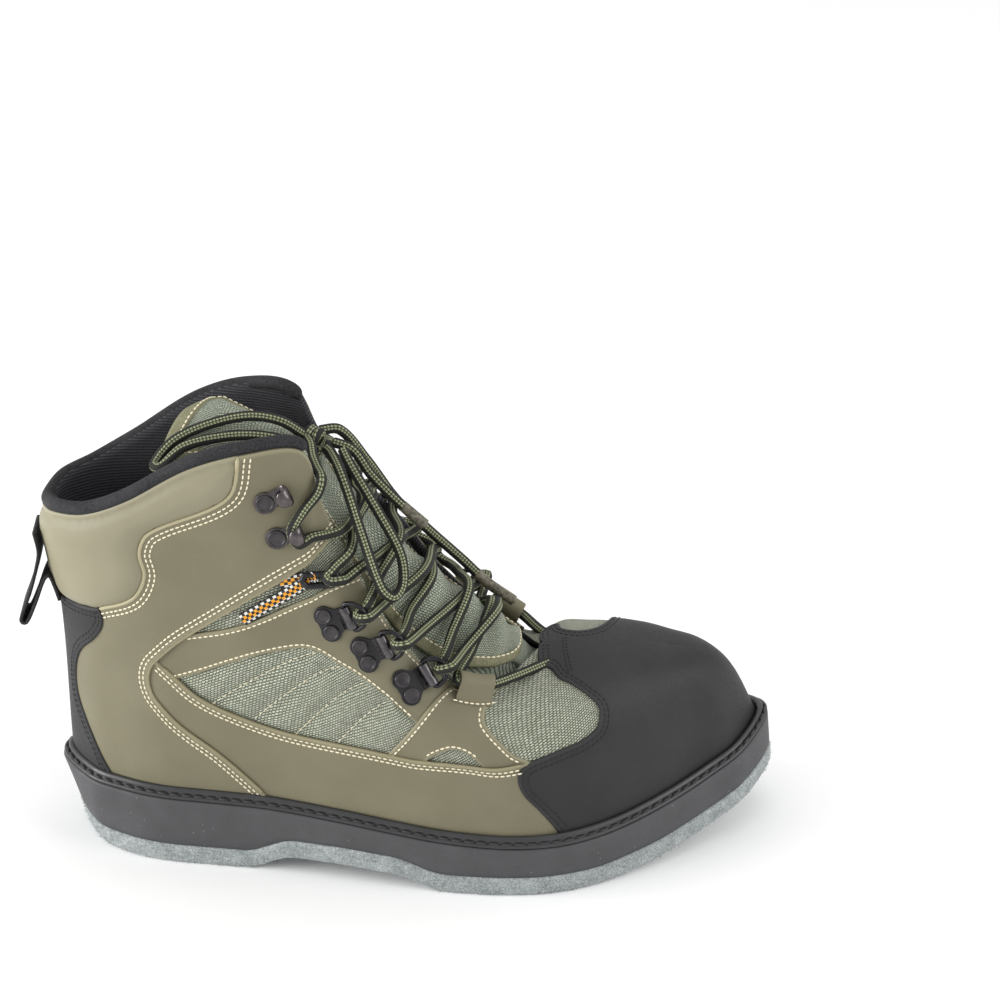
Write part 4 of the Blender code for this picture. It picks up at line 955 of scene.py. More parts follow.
class Sewing:
    """Rows of stitches, gathered by thread and made as one joined mesh for each thread."""

    def __init__(self, last: Last) -> None:
        """Start with no stitches."""
        self.last = last
        self.spots: dict[tuple[Thread, float, float], list[tuple[Array, Array, Array]]] = {}

    def row(self, points: Array, normals: Array, thread: Thread, pitch: float = 2.55,
            size: Pair = (2.1, 0.85)) -> None:
        """Sew along a line of table points.

        Args:
            points: Points on the surface.
            normals: Outward directions there.
            thread: Thread of the row.
            pitch: Distance from stitch to stitch.
            size: Length and width of a stitch.
        """
        run = lengths(points)
        if run[-1] < pitch:
            return
        at = np.arange(pitch / 2, run[-1], pitch)
        spots = along(points, at)
        ways = unit(along(points, at + 0.4) - along(points, at - 0.4))
        ups = unit(along(normals, at, run))
        self.spots.setdefault((thread, *size), []).append((spots, ways, ups))

    def skin_row(self, line: Array, lift: Array | float, thread: Thread, **sizes: object) -> None:
        """Sew along a line of the upper's flat pattern, at a height over the skin."""
        u, v = self.last.unflat(line)
        bump = self.last.relief(u, v)
        self.row(self.last.lifted(u, v, lift + bump), self.last.normal(u, v), thread, **sizes)

    def make(self) -> None:
        """Make the joined stitches of each thread."""
        for thread in Thread:
            finish = Textile(thread.name.lower() + "_sewing_thread", thread.value[0], thread.value[0], 0.5,
                             thread.value[1], depth=0.1).make()
            points, faces = [], []
            for (kind, long, wide), rows in self.spots.items():
                if kind is thread:
                    spots, ways, ups = (np.vstack([row[k] for row in rows]) for k in range(3))
                    self._lay(points, faces, (long, wide), spots, ways, ups)
            if not points:
                continue
            data = bpy.data.meshes.new("stitches_" + thread.name.lower())
            data.from_pydata(np.vstack(points).tolist(), [], [face for part in faces for face in part])
            add_mesh(data.name, data, finish)

    @staticmethod
    def _lay(points: list, faces: list, size: Pair, spots: Array, ways: Array, ups: Array) -> None:
        """Lay one rounded stitch at each spot."""
        bead = bmesh.new()
        bmesh.ops.create_uvsphere(bead, u_segments=6, v_segments=4, radius=0.5)
        bead.verts.index_update()
        shape = np.array([vert.co[:] for vert in bead.verts])
        rings = [[vert.index for vert in face.verts] for face in bead.faces]
        bead.free()
        long, wide = size
        side = np.cross(ups, ways)
        x, y, z = (shape[None, :, axis, None] for axis in range(3))
        local = (z * ways[:, None] * long + x * side[:, None] * wide + y * ups[:, None] * wide * 0.8)
        laid = place(spots[:, None] + local).reshape(-1, 3)
        start = sum(len(part) for part in points)
        points.append(laid)
        count = len(shape)
        faces.append([[start + k * count + i for i in ring] for k in range(len(spots)) for ring in rings])


@dataclass
class Assembly:
    """Group of the boot's pieces, with the form, the finishes and the stitches that they share."""

    last: Last
    finishes: Finishes
    sewing: Sewing


@dataclass(frozen=True)
class Level:
    """Ring round the sole.

    Its height lies between the felt's top (blend 0) and the ledge (blend 1), raised by rise. Its inset
    grows by a share of the slope of the sole's side.
    """

    inset: float
    slope: float
    blend: float
    rise: float


@dataclass
class Sole(Assembly):
    """Felt outsole, rubber midsole, storm welt with its seam, and insole."""

    felt_thick: float = 9.2
    felt_slope: float = 0.7
    felt_rough: float = 0.16
    heel_undercut: float = 9.0
    toe_flare: float = 2.5
    run: float = 40.0
    spine: Pair = (22.0, 276.0)
    rounded: float = 1.5
    insole_inset: float = 12.8
    around: int = 420
    fibres: int = 5200
    fibre_long: Pair = (0.7, 1.8)
    fibre_half: float = 0.14
    seam_at: Pair = (5.0, 2.1)
    seam_pitch: float = 5.6
    seam_size: Pair = (4.6, 1.7)
    # Welt profile: distance out from the upper's foot and height over the ledge
    welt: Rows = (
        (1.3, 0.25), (5.7, 0.25), (6.15, 0.6), (6.25, 1.2), (6.0, 1.75), (5.5, 2.05), (4.9, 2.05),
        (4.45, 1.9), (4.2, 2.1), (4.25, 2.9), (4.1, 3.7), (3.7, 4.4), (3.1, 4.85), (2.5, 4.95),
        (1.9, 4.75), (1.4, 4.2), (1.2, 3.2), (1.2, 1.2))

    def slope_in(self, x: Array, share: Array | float) -> Array:
        """Inset of the sole's side below the ledge: the heel slopes in and the toe flares a little."""
        heel = np.clip((self.last.heel_tip[0] + self.run - x) / self.run, 0.0, 1.0)
        toe = np.clip((x - self.last.toe_tip[0] + self.run) / self.run, 0.0, 1.0)
        return share * (self.heel_undercut * heel ** 2 - self.toe_flare * toe ** 2)

    def felt_side(self, share: Array | float) -> tuple[Array | float, Array | float]:
        """Inset and share of the slope at a share of the felt's height."""
        return 0.15 + 0.55 * (1 - share), 1.0 - 0.3 * share

    def height(self, x: Array, level: Level) -> Array:
        """Height of a level along the sole."""
        felt_top = self.last.floor_gap(x) + self.felt_thick
        return felt_top * (1 - level.blend) + self.last.ledge(x) * level.blend + level.rise

    def disc(self, levels: Sequence[Level], rings: int, rough: float = 0.0) -> BMesh:
        """Closed slab through levels round the sole.

        Args:
            levels: Levels from the bottom up.
            rings: Rings of faces on the flat top and bottom.
            rough: Depth of a seeded roughness on the sides.

        Returns:
            The closed shape.
        """
        total = len(levels) + 2 * rings
        noise = np.random.default_rng(7).normal(0.0, 1.0, (total + 2, self.around + 1))
        noise[:, -1] = noise[:, 0]

        def form(a: Array, b: Array) -> Array:
            """Points of the slab."""
            u = a * 2 - 1
            k, column = step_at(b, total - 1), step_at(a, self.around)
            points = np.zeros((len(a), 3))
            for row in range(total):
                mask = k == row
                step = row - rings
                level = levels[min(max(step, 0), len(levels) - 1)]
                inside = max(-step, step - len(levels) + 1, 0)
                x = self.last.outline(u[mask], 0.0)[:, 0]
                wander = rough * noise[row, column[mask]] * (inside == 0)
                edge = self.last.outline(u[mask], level.inset + self.slope_in(x, level.slope) + wander)
                spine = 0.5 * (edge + self.last.outline(-u[mask], level.inset))
                spine[:, 0] = np.clip(edge[:, 0], *self.spine)
                share = (inside / rings) ** 1.5
                flat = edge * (1 - share) + spine * share
                points[mask] = np.column_stack([flat, self.height(flat[:, 0], level)])
            return points

        return close_shape(mapped_grid(self.around, total - 1, form), fill=False)

    def build(self) -> None:
        """Build and dress the sole's pieces."""
        thick, slope, low = self.felt_thick, self.felt_slope, self.rounded
        felt = [Level(2.2, 1.0, 0.0, -thick), Level(1.1, 1.0, 0.0, 0.35 - thick)]
        felt += [Level(*self.felt_side(share), 0.0, thick * (share - 1))
                 for share in (0.14, 0.3, 0.46, 0.62, 0.78, 0.93)]
        shape = self.disc(felt + [Level(0.9, slope, 0.0, 0.0)], 7, self.felt_rough)
        add_piece("felt_sole", shape, self.finishes.felt, ["felt_outsole"])
        self.build_fibres()
        middle = [Level(1.1, slope, 0.0, -0.1), Level(0.55, slope * 0.97, 0.0, 0.5)]
        middle += [Level(0.45 * (1 - share), slope * (1 - share), share, -low * share)
                   for share in (0.2, 0.4, 0.6, 0.8)]
        middle += [Level(inset, 0.0, 1.0, rise)
                   for inset, rise in ((0.0, -low), (0.12, -0.8), (0.5, -0.25), (1.2, 0.0))]
        add_piece("midsole_rubber", self.disc(middle, 6), self.finishes.rubber, ["midsole"])
        insole = [Level(self.insole_inset + inset, 0.0, 1.0, rise)
                  for inset, rise in ((0.0, 0.4), (-0.3, 2.0), (0.2, 3.6), (1.5, 4.3))]
        add_piece("insole_pad", self.disc(insole, 8), self.finishes.insole, ["insole"])
        self.build_welt()

    def build_fibres(self) -> None:
        """Short loose fibres on the felt's side, as one joined mesh of slivers."""
        count = self.fibres
        rng = np.random.default_rng(11)
        u = rng.uniform(-1.0, 1.0, count)
        share = rng.uniform(0.04, 0.97, count)
        inset, slope = self.felt_side(share)
        x = self.last.outline(u, 0.0)[:, 0]
        flat = self.last.outline(u, inset + self.slope_in(x, slope) + 0.2)
        root = np.column_stack([flat, self.last.floor_gap(flat[:, 0]) + self.felt_thick * share])
        out = np.column_stack([-self.last.inward_at(u), np.zeros(count)])
        ahead = np.column_stack([-out[:, 1], out[:, 0], np.zeros(count)])
        lean = out * 0.55 + ahead * rng.normal(0, 0.9, (count, 1))
        lean = unit(lean + np.array(UP) * rng.normal(0.0, 0.5, (count, 1)))
        tip = root + lean * rng.uniform(*self.fibre_long, (count, 1))
        tip[:, 2] = np.maximum(tip[:, 2], 0.15)
        cross = unit(np.cross(lean, out + 0.01)) * self.fibre_half
        points = place(np.stack([root - cross, root + cross, tip], axis=1).reshape(-1, 3))
        data = bpy.data.meshes.new("felt_fibres")
        data.from_pydata(points.tolist(), [], np.arange(3 * count).reshape(-1, 3).tolist())
        add_mesh("felt_fibres", data, self.finishes.felt)

    def build_welt(self) -> None:
        """Storm welt with a rolled bead, and the heavy seam that lies on its ledge."""
        profile = np.array(self.welt)

        def form(a: Array, b: Array) -> Array:
            """Points of the welt."""
            k = step_at(b, len(profile)) % len(profile)
            flat = self.last.outline(a * 2 - 1, self.last.ledge_width - profile[k, 0])
            return np.column_stack([flat, self.last.ledge(flat[:, 0]) + profile[k, 1]])

        shape = close_shape(mapped_grid(self.around, len(profile), form), fill=False)
        add_piece("storm_welt", shape, self.finishes.welt, ["welt"])
        out, rise = self.seam_at
        flat = self.last.outline(np.linspace(-1.0, 1.0, 1601), self.last.ledge_width - out)
        seam = np.column_stack([flat, self.last.ledge(flat[:, 0]) + rise])
        self.sewing.row(seam, np.tile(UP, (len(flat), 1)), Thread.GREY, self.seam_pitch, self.seam_size)


@dataclass
class Upper(Assembly):
    """Mesh skin with its lining, the collar trim and the leather panels sewn over it."""

    skin_columns: int = 336
    # Rows of faces on the outside, over the top edge and on the inside
    skin_rows: tuple[int, int, int] = (84, 3, 42)
    collar_wall: float = 6.0
    pad_start: float = 0.62
    pad_rise: float = 0.25
    collar_corner: float = 0.36
    collar_fade: float = 0.06
    seam_step: float = 1.7
    cell: float = 2.8
    pad_lift: float = 0.9
    pad_puff: float = 4.1
    quilt_rise: float = 1.6
    quilt_pinch: float = 2.5
    quilt_seam: float = 3.2
    # Widths of the rings inside a panel's edge, and the rounded rise of its face from that edge
    rims: tuple[float, ...] = (0.12, 0.35, 0.55, 0.8)
    edge_at: tuple[float, ...] = (0.0, 0.1, 0.4, 0.9, 1.6)
    edge_rise: tuple[float, ...] = (0.55, 0.86, 0.98, 1.0)
    pad_edge: Rows = ((0.12, 0.655), (0.174, 0.68), (0.192, 0.74), (0.190, 0.82), (0.204, 0.865),
                      (0.275, 0.87), (0.295, 0.90), (0.302, 0.985))
    counter_edge: Rows = ((0.12, 0.655), (0.125, 0.62), (0.12, 0.58), (0.10, 0.53), (0.066, 0.47),
                          (0.048, 0.39), (0.046, 0.29), (0.062, 0.20), (0.088, 0.10), (0.111, 0.010))
    quarter_front: Rows = ((0.442, 0.985), (0.412, 0.85), (0.379, 0.745), (0.354, 0.685), (0.317, 0.625),
                           (0.274, 0.565), (0.226, 0.51), (0.199, 0.47), (0.187, 0.445), (0.181, 0.405),
                           (0.183, 0.355), (0.191, 0.315), (0.213, 0.24), (0.257, 0.145), (0.30, 0.045),
                           (0.314, 0.010))
    eyestay_top: Rows = ((0.205, 0.53), (0.231, 0.525), (0.272, 0.525), (0.294, 0.535), (0.316, 0.555),
                         (0.356, 0.605), (0.399, 0.70), (0.447, 0.85), (0.479, 0.965), (0.484, 0.985))
    eyestay_lower: Rows = ((0.552, 0.572), (0.513, 0.58), (0.492, 0.58), (0.453, 0.553), (0.419, 0.52),
                           (0.384, 0.495), (0.354, 0.475), (0.313, 0.45), (0.279, 0.425), (0.244, 0.402),
                           (0.207, 0.39), (0.165, 0.385))
    foxing_top: Rows = ((0.175, 0.50), (0.193, 0.465), (0.209, 0.415), (0.24, 0.325), (0.284, 0.265),
                        (0.328, 0.23), (0.374, 0.225), (0.426, 0.255), (0.494, 0.315), (0.524, 0.36),
                        (0.556, 0.41), (0.585, 0.438), (0.615, 0.438), (0.637, 0.446), (0.655, 0.428))
    foxing_nose: Rows = ((0.655, 0.428), (0.647, 0.36), (0.645, 0.27), (0.656, 0.16), (0.675, 0.010))
    vamp_rear: Rows = ((0.617, 0.985), (0.605, 0.925), (0.568, 0.73), (0.504, 0.445), (0.459, 0.27),
                       (0.445, 0.20))
    small_window: Rows = ((0.508, 0.275), (0.515, 0.33), (0.532, 0.40), (0.554, 0.47), (0.576, 0.53),
                          (0.587, 0.543), (0.595, 0.52), (0.599, 0.46), (0.60, 0.385))
    vamp_front: Rows = ((0.652, 0.40), (0.648, 0.45), (0.64, 0.505), (0.636, 0.58), (0.631, 0.72),
                        (0.632, 0.785), (0.64, 0.90), (0.65, 0.965), (0.652, 0.985))
    cap_lateral: Rows = ((0.685, 1.0), (0.683, 0.93), (0.683, 0.885), (0.686, 0.853), (0.694, 0.81),
                         (0.702, 0.72), (0.714, 0.675), (0.738, 0.585), (0.746, 0.53), (0.743, 0.47),
                         (0.733, 0.41), (0.719, 0.38), (0.703, 0.36), (0.689, 0.36))
    cap_medial: Rows = ((0.685, 1.0), (0.684, 0.93), (0.690, 0.865), (0.701, 0.845), (0.712, 0.865),
                        (0.717, 0.92), (0.728, 0.945), (0.75, 0.945), (0.772, 0.92), (0.787, 0.84),
                        (0.787, 0.68), (0.768, 0.52), (0.733, 0.41), (0.698, 0.36))
    cap_corner: Rows = ((0.668, 0.395), (0.648, 0.435), (0.635, 0.41), (0.628, 0.36), (0.625, 0.30),
                        (0.627, 0.235), (0.637, 0.16), (0.649, 0.085), (0.663, 0.012))
    # Quilting seams of the mesh window, from the upper to the lower end
    quilting: tuple[Rows, ...] = (
        ((0.378, 0.485), (0.255, 0.305)), ((0.420, 0.515), (0.296, 0.250)),
        ((0.456, 0.535), (0.344, 0.222)), ((0.488, 0.54), (0.388, 0.210)))
    # Height of each panel's face over the skin, in the order in which they overlap
    eyestay_lift: float = 1.3
    vamp_lift: float = 1.5
    foxing_lift: float = 1.7
    quarter_lift: float = 1.9
    cap_lift: float = 1.6
    counter_lift: float = 2.2
    underlap: float = 3.0

    def seam(self, points: Rows, sign: int, shift: Pair = (0.0, 0.0)) -> Array:
        """Smooth seam in the flat pattern of one side.

        Args:
            points: u and v of the seam's points.
            sign: Sign of u on this side.
            shift: Shift in u and v, for an edge that runs on under its neighbour.

        Returns:
            Places in the flat pattern.
        """
        rows = np.array(points, float) + shift
        return curve_through(self.last.flat(sign * rows[:, 0], rows[:, 1]), self.seam_step)

    def corner(self, sign: int, *points: Pair) -> Array:
        """Straight run of the flat pattern of one side through points given as u and v."""
        u, v = np.array(points, float).T
        at = np.arange(len(points))
        fine = np.linspace(0, len(points) - 1, 12 * (len(points) - 1) + 1)
        return self.last.flat(np.interp(fine, at, sign * u), np.interp(fine, at, v))

    def level(self, start: float, end: float, v: float, count: int) -> Array:
        """Run of the flat pattern at one v, across the heel or the toe, without its two ends."""
        return self.last.flat(np.linspace(start, end, count), np.full(count, v))[1:-1]

    def wall_at(self, u: Array, v: Array) -> Array:
        """Thickness of the upper: the mesh is thin and the collar is padded."""
        rise = np.clip((v - self.pad_start) / self.pad_rise, 0.0, 1.0)
        fade = np.clip((self.collar_corner - np.abs(u)) / self.collar_fade, 0.0, 1.0)
        return self.last.wall + (self.collar_wall - self.last.wall) * rise * fade

    def quilt(self, u: Array, v: Array) -> Array:
        """Height of the quilted mesh: soft ribs between the sewn seams of the window."""
        side = np.minimum(np.abs(u), 1.0)
        places = self.last.flat(-side, v)
        seams = [distance_to_line(places, self.corner(-1, *ends), False) for ends in self.quilting]
        nearest = np.min(seams, axis=0)
        head, sill, slope = (np.array(line) for line in (
            self.eyestay_lower[::-1], self.foxing_top, self.vamp_rear[::-1]))
        below = (np.interp(side, head[:, 0], head[:, 1]) - v) * self.last.tall_at(-side)
        above = (v - np.interp(side, sill[:, 0], sill[:, 1])) * self.last.tall_at(-side)
        behind = (np.interp(v, slope[:, 1], slope[:, 0]) - side) * self.last.span
        inside = np.clip(below / 6.0, 0.0, 1.0) * np.clip(above / 6.0, 0.0, 1.0)
        inside = inside * (side > head[0, 0]) * np.clip(behind / 5.0, 0.0, 1.0)
        return inside * (self.quilt_rise - self.quilt_pinch * np.exp(-(nearest / self.quilt_seam) ** 2))

    def build(self) -> None:
        """Build and dress the upper's pieces."""
        self.build_skin()
        self.build_collar_trim()
        self.build_shared_panels()
        for side in Side:
            self.build_side_panels(side)

    def build_skin(self) -> None:
        """Outer mesh skin and, inside it, the lining, as one closed wall."""
        outer, rim, inner = self.skin_rows
        total = outer + rim + inner + 1

        def levels(b: Array) -> tuple[Array, Array]:
            """v and share of the wall's depth at each row."""
            k = np.round(b * total)
            v = np.where(k <= outer + rim, 1.0, 1 - (k - outer - rim) / inner)
            v = np.where(k <= outer, k / outer, v)
            deep = np.where(k <= outer, 0.0, np.where(k <= outer + rim, (k - outer) / rim, 1.0))
            return np.where(k >= total, 0.0, v), np.where(k >= total, 0.0, deep)

        def form(a: Array, b: Array) -> Array:
            """Points of the wall."""
            u = a * 2 - 1
            v, deep = levels(b)
            v = np.clip(v, 0.0, 1.0)
            crown = np.where((deep > 0) & (deep < 1), 0.8, 0.0) * (np.abs(u) < self.last.ridge_start)
            lift = (self.last.relief(u, v) + self.quilt(u, v)) * (deep == 0) - self.wall_at(u, v) * deep
            points = self.last.lifted(u, v, lift)
            points[:, 2] += crown
            return points

        def sheet(a: Array, b: Array) -> Array:
            """Flat places of the wall."""
            v, deep = levels(b)
            return self.last.flat(np.clip(a * 2 - 1, -0.9999, 0.9999), v + deep * 0.001)

        shape = mapped_grid(self.skin_columns, total, form, sheet)
        shape.faces.ensure_lookup_table()
        drop = []
        for index, face in enumerate(shape.faces):
            row, column = divmod(index, self.skin_columns)
            u = abs((column + 0.5) / self.skin_columns * 2 - 1)
            if outer <= row < outer + rim and u > self.last.ridge_start:
                drop.append(face)
            face.material_index = 0 if row < outer else 1
        bmesh.ops.delete(shape, geom=drop, context="FACES")
        bmesh.ops.remove_doubles(shape, verts=shape.verts[:], dist=MERGE * 5)
        bmesh.ops.recalc_face_normals(shape, faces=shape.faces[:])
        add_piece("mesh_upper", shape, self.finishes.mesh, ["upper"], more=[self.finishes.lining])
        for side in Side:
            for ends in self.quilting:
                line = self.corner(side.value, *ends)
                lift = self.quilt(*self.last.unflat(line)) + 0.45
                self.sewing.skin_row(line, lift, Thread.CREAM, pitch=3.0, size=(2.2, 0.5))

    def build_collar_trim(self) -> None:
        """Black padded roll along the top line, from one front corner round the heel to the other."""
        reach = self.collar_corner + 0.012
        u = np.linspace(-reach, reach, 300)
        edge = self.last.lifted(u, np.full_like(u, 0.992), -2.4)
        edge[:, 2] += 0.4
        shape = tube(edge, 3.1, 18, UP, ends=4.0)
        trim = add_piece("collar_trim", shape, self.finishes.tape)

    def panel(self, name: str, lines: Sequence[Array], lift: float, finish: Material, slot: str, node: str,
              bead: float = 0.0, puff: float = 0.0, edges: Sequence[Array] = (), rolled: Array | None = None,
              tucked: Sequence[Array] = ()) -> Object:
        """Panel laid over the upper from its flat outline, with a rounded edge.

        Args:
            name: Name of the piece.
            lines: Lines of its outline in the flat pattern, in order.
            lift: Height of its face over the skin.
            finish: Material.
            slot: Material slot of the record; not used.
            node: CAD node that it stands for.
            bead: Height of the folded edge over the face.
            puff: Height of the padding under it.
            edges: Lines that count as its edge, if not the whole outline.
            rolled: Line that its folded edge follows, if not the whole edge.
            tucked: Lines along which it is pressed down under its neighbours.

        Returns:
            The new object.
        """
        shape = bmesh.new()
        outline = np.vstack(lines)
        outline = outline[np.linalg.norm(outline - np.roll(outline, 1, axis=0), axis=1) > 0.05]
        face = shape.faces.new([shape.verts.new((x, y, 0.0)) for x, y in outline])
        face.normal_update()
        if face.normal.z < 0:
            face.normal_flip()
        for rim in self.rims:
            bmesh.ops.inset_region(shape, faces=[face], thickness=rim, use_boundary=True,
                                   use_even_offset=False)
        low, high = outline.min(axis=0), outline.max(axis=0)
        cell = self.cell if puff == 0.0 else self.cell / 2
        for axis, way in enumerate(((1.0, 0.0, 0.0), (0.0, 1.0, 0.0))):
            middle = self.last.span if axis == 0 and high[0] > self.last.span else 0.0
            first = math.ceil((low[axis] - middle) / cell)
            for k in range(first, math.floor((high[axis] - middle) / cell) + 1):
                pieces = shape.verts[:] + shape.edges[:] + shape.faces[:]
                cut = tuple((middle + k * cell) * part for part in way)
                bmesh.ops.bisect_plane(shape, geom=pieces, dist=0.02, plane_co=cut, plane_no=way)
        places = np.array([vert.co[:2] for vert in shape.verts])
        near = distance_to_line(places, outline, True)
        if edges:
            near = np.min([distance_to_line(places, line, False) for line in edges], axis=0)
        roll = near if rolled is None else distance_to_line(places, rolled, False)
        u, v = self.last.unflat(places)
        v = np.clip(v, 0.0, 1.0)
        height = np.interp(near, self.edge_at, (-0.35, *(lift * share for share in self.edge_rise)))
        height += bead * np.exp(-((roll - 1.0) / 0.75) ** 2) * (near > 0.08)
        for line in tucked:
            height -= 1.2 * np.exp(-(distance_to_line(places, line, False) / 7.0) ** 2)
        if puff > 0.0:
            share = np.clip((near - self.underlap) / 12.0, 0.0, 1.0)
            height += puff * np.sqrt(np.clip(1 - (1 - share) ** 2, 0.0, 1.0))
        height += self.last.relief(u, v)
        points = place(self.last.lifted(u, v, height))
        edge = shape.verts.layers.float.new("edge")
        layer = shape.loops.layers.uv.new("sheet")
        for face in shape.faces:
            for loop in face.loops:
                loop[layer].uv = loop.vert.co.xy
        for vert, point, gap in zip(shape.verts, points, near):
            vert.co = point
            vert[edge] = gap
        bmesh.ops.reverse_faces(shape, faces=shape.faces[:])
        bmesh.ops.remove_doubles(shape, verts=shape.verts[:], dist=MERGE * 5)
        return add_piece(name, shape, finish, [node])

    @staticmethod
    def beside(line: Array, offset: float) -> Array:
        """Line of the flat pattern at a signed distance to the left of another one."""
        way = unit(np.gradient(line, axis=0))
        return line + np.stack([-way[:, 1], way[:, 0]], axis=1) * offset

    def stitch(self, line: Array, turn: int, offsets: Sequence[float], lift: float,
               thread: Thread = Thread.CREAM) -> None:
        """Sew rows beside a seam of the flat pattern, to its left where turn is 1."""
        for offset in offsets:
            self.sewing.skin_row(self.beside(line, offset * turn), lift, thread)

    def fold(self, name: str, line: Array, lift: float, radius: float, finish: Material) -> None:
        """Round folded edge of a panel, along a line of the flat pattern."""
        u, v = self.last.unflat(line)
        rim = self.last.lifted(u, v, self.last.relief(u, v) + lift - 0.15)
        add_piece(name, tube(rim, radius, 10, UP, ends=2.0, settle=0.1), finish)

    def build_shared_panels(self) -> None:
        """Collar pad, heel counter and toe cap, which run across both sides."""
        black = (self.finishes.black, "black_leather")
        left = self.beside(self.seam(self.pad_edge, -1), self.underlap)[::-1]
        right = self.beside(self.seam(self.pad_edge, 1), -self.underlap)
        foot = self.corner(1, (-0.12, 0.633), (0.12, 0.633))[1:-1]
        top = self.last.flat(np.linspace(0.308, -0.308, 120), np.full(120, 0.985))
        pad = self.panel("collar_padding", (left, foot, right, top), self.pad_lift, self.finishes.pale,
                         "pale_olive", "collar_pad", puff=self.pad_puff)
        left, right = (self.seam(self.counter_edge, sign) for sign in (-1, 1))
        head = self.level(0.12, -0.12, 0.655, 60)
        base = self.level(-0.111, 0.111, 0.010, 60)
        self.panel("counter_leather", (left, base, right[::-1], head), self.counter_lift, *black,
                   "heel_counter", bead=0.15)
        for line, turn in ((left, 1), (right, -1), (head, 1)):
            self.stitch(line, turn, (2.4, 4.6), self.counter_lift, Thread.BLACK)
        near = self.seam(self.cap_medial + self.cap_corner, 1)
        rows = np.array(self.cap_lateral + self.cap_corner)
        far = curve_through(self.last.flat(2 - rows[:, 0], rows[:, 1]), self.seam_step)
        base = self.level(0.663, 1.337, 0.012, 150)
        head = self.level(1.315, 0.685, 1.0, 151)
        self.panel("toe_cap_leather", (near, base, far[::-1], head), self.cap_lift, *black, "toe_cap",
                   bead=0.15, edges=(near, base, far))
        self.stitch(near, 1, (2.4, 4.6), self.cap_lift, Thread.BLACK)
        self.stitch(far, -1, (2.4, 4.6), self.cap_lift, Thread.BLACK)
        for u in (0.717, 0.723):
            self.sewing.skin_row(self.corner(-1, (u, 0.74), (u + 0.003, 0.99)), self.cap_lift, Thread.BLACK)

    def build_side_panels(self, side: Side) -> None:
        """Quarter, eyestay, foxing and vamp panel of one side, with their seams."""
        sign, word = side.value, side.word
        turn = -sign
        olive = (self.finishes.olive, "olive")
        front = self.seam(self.quarter_front, sign)
        rear = self.seam(self.counter_edge, sign, (-0.018, 0.0))[::-1]
        pad = self.seam(self.pad_edge, sign)
        top = self.corner(sign, (0.302, 0.985), (0.36, 0.985), (0.40, 0.985), (0.442, 0.985))[1:-1]
        foot = self.corner(sign, (0.314, 0.010), (0.093, 0.010))[1:-1]
        lift = self.quarter_lift
        self.panel("quarter_leather_" + word, (front, foot, rear, pad, top), lift, *olive, "quarter_" + word,
                   bead=0.7, rolled=front, tucked=(rear,))
        self.stitch(front, turn, (2.6, 4.5), lift)
        self.stitch(pad, turn, (2.9, 4.9), lift)
        # The rolled edge's pale leather is a painted highlight on its rounded top
        self.fold("quarter_rolled_edge_" + word, self.beside(pad, 0.5 * turn), lift, 0.85,
                  self.finishes.rolled)
        # The folded edge's lighter leather is a painted highlight along the fold
        self.fold("quarter_folded_edge_" + word, self.beside(front[:-3], 0.4 * turn), lift, 0.75,
                  self.finishes.folded)
        upper = self.seam(self.eyestay_top, sign)
        throat = self.corner(sign, (0.484, 0.985), (0.545, 0.985), (0.60, 0.985), (0.632, 0.97))[1:]
        under = self.corner(sign, (0.632, 0.97), (0.606, 0.85), (0.568, 0.66), (0.552, 0.572))[1:]
        lower = self.seam(self.eyestay_lower, sign)
        back = self.corner(sign, (0.165, 0.385), (0.16, 0.46), (0.205, 0.53))[1:-1]
        lift = self.eyestay_lift
        self.panel("eyestay_leather_" + word, (upper, throat, under, lower[1:], back), lift, *olive,
                   "eyestay_" + word, bead=0.2, tucked=(under, back))
        for line, offset in ((upper[6:], 2.0), (lower[6:-9], 2.0), (throat[2:-14], 2.2)):
            self.stitch(line, turn, (offset,), lift)
        rise = self.seam(self.foxing_top, sign)
        nose = self.corner(sign, *self.foxing_nose)[1:]
        foot = self.corner(sign, (0.675, 0.010), (0.296, 0.010))[1:]
        tail = self.seam(self.quarter_front[8:], sign, (-0.02, -0.005))[::-1]
        lift = self.foxing_lift
        self.panel("foxing_leather_" + word, (rise, nose, foot, tail), lift, *olive, "foxing_" + word,
                   bead=0.7, rolled=rise, tucked=(nose, tail))
        # The folded edge's lighter leather is a painted highlight along the fold
        self.fold("foxing_folded_edge_" + word, self.beside(rise[7:-3], 0.4 * turn), lift, 0.75,
                  self.finishes.folded)
        self.stitch(rise[6:-4], turn, (2.3, 4.1), lift)
        slope = self.seam(self.vamp_rear, sign)
        sill = self.corner(sign, (0.445, 0.20), (0.508, 0.275))[1:]
        window = self.seam(self.small_window, sign)[1:]
        ledge = self.corner(sign, (0.60, 0.385), (0.652, 0.40))[1:-1]
        nose = self.seam(self.vamp_front, sign)
        head = self.corner(sign, (0.652, 0.985), (0.617, 0.985))[1:-1]
        lift = self.vamp_lift
        self.panel("vamp_leather_" + word, (slope, sill, window, ledge, nose, head), lift, *olive,
                   "vamp_panel_" + word, bead=0.25, tucked=(sill, ledge))
        for line in (slope[:-8], window[6:-6], nose[4:]):
            self.stitch(line, sign, (2.0,), lift)


@dataclass(frozen=True)
class Fitting:
    """Place of a metal fitting on the skin and the place that it points at, in u and v."""

    word: str
    u: float
    v: float
    aim_u: float
    aim_v: float


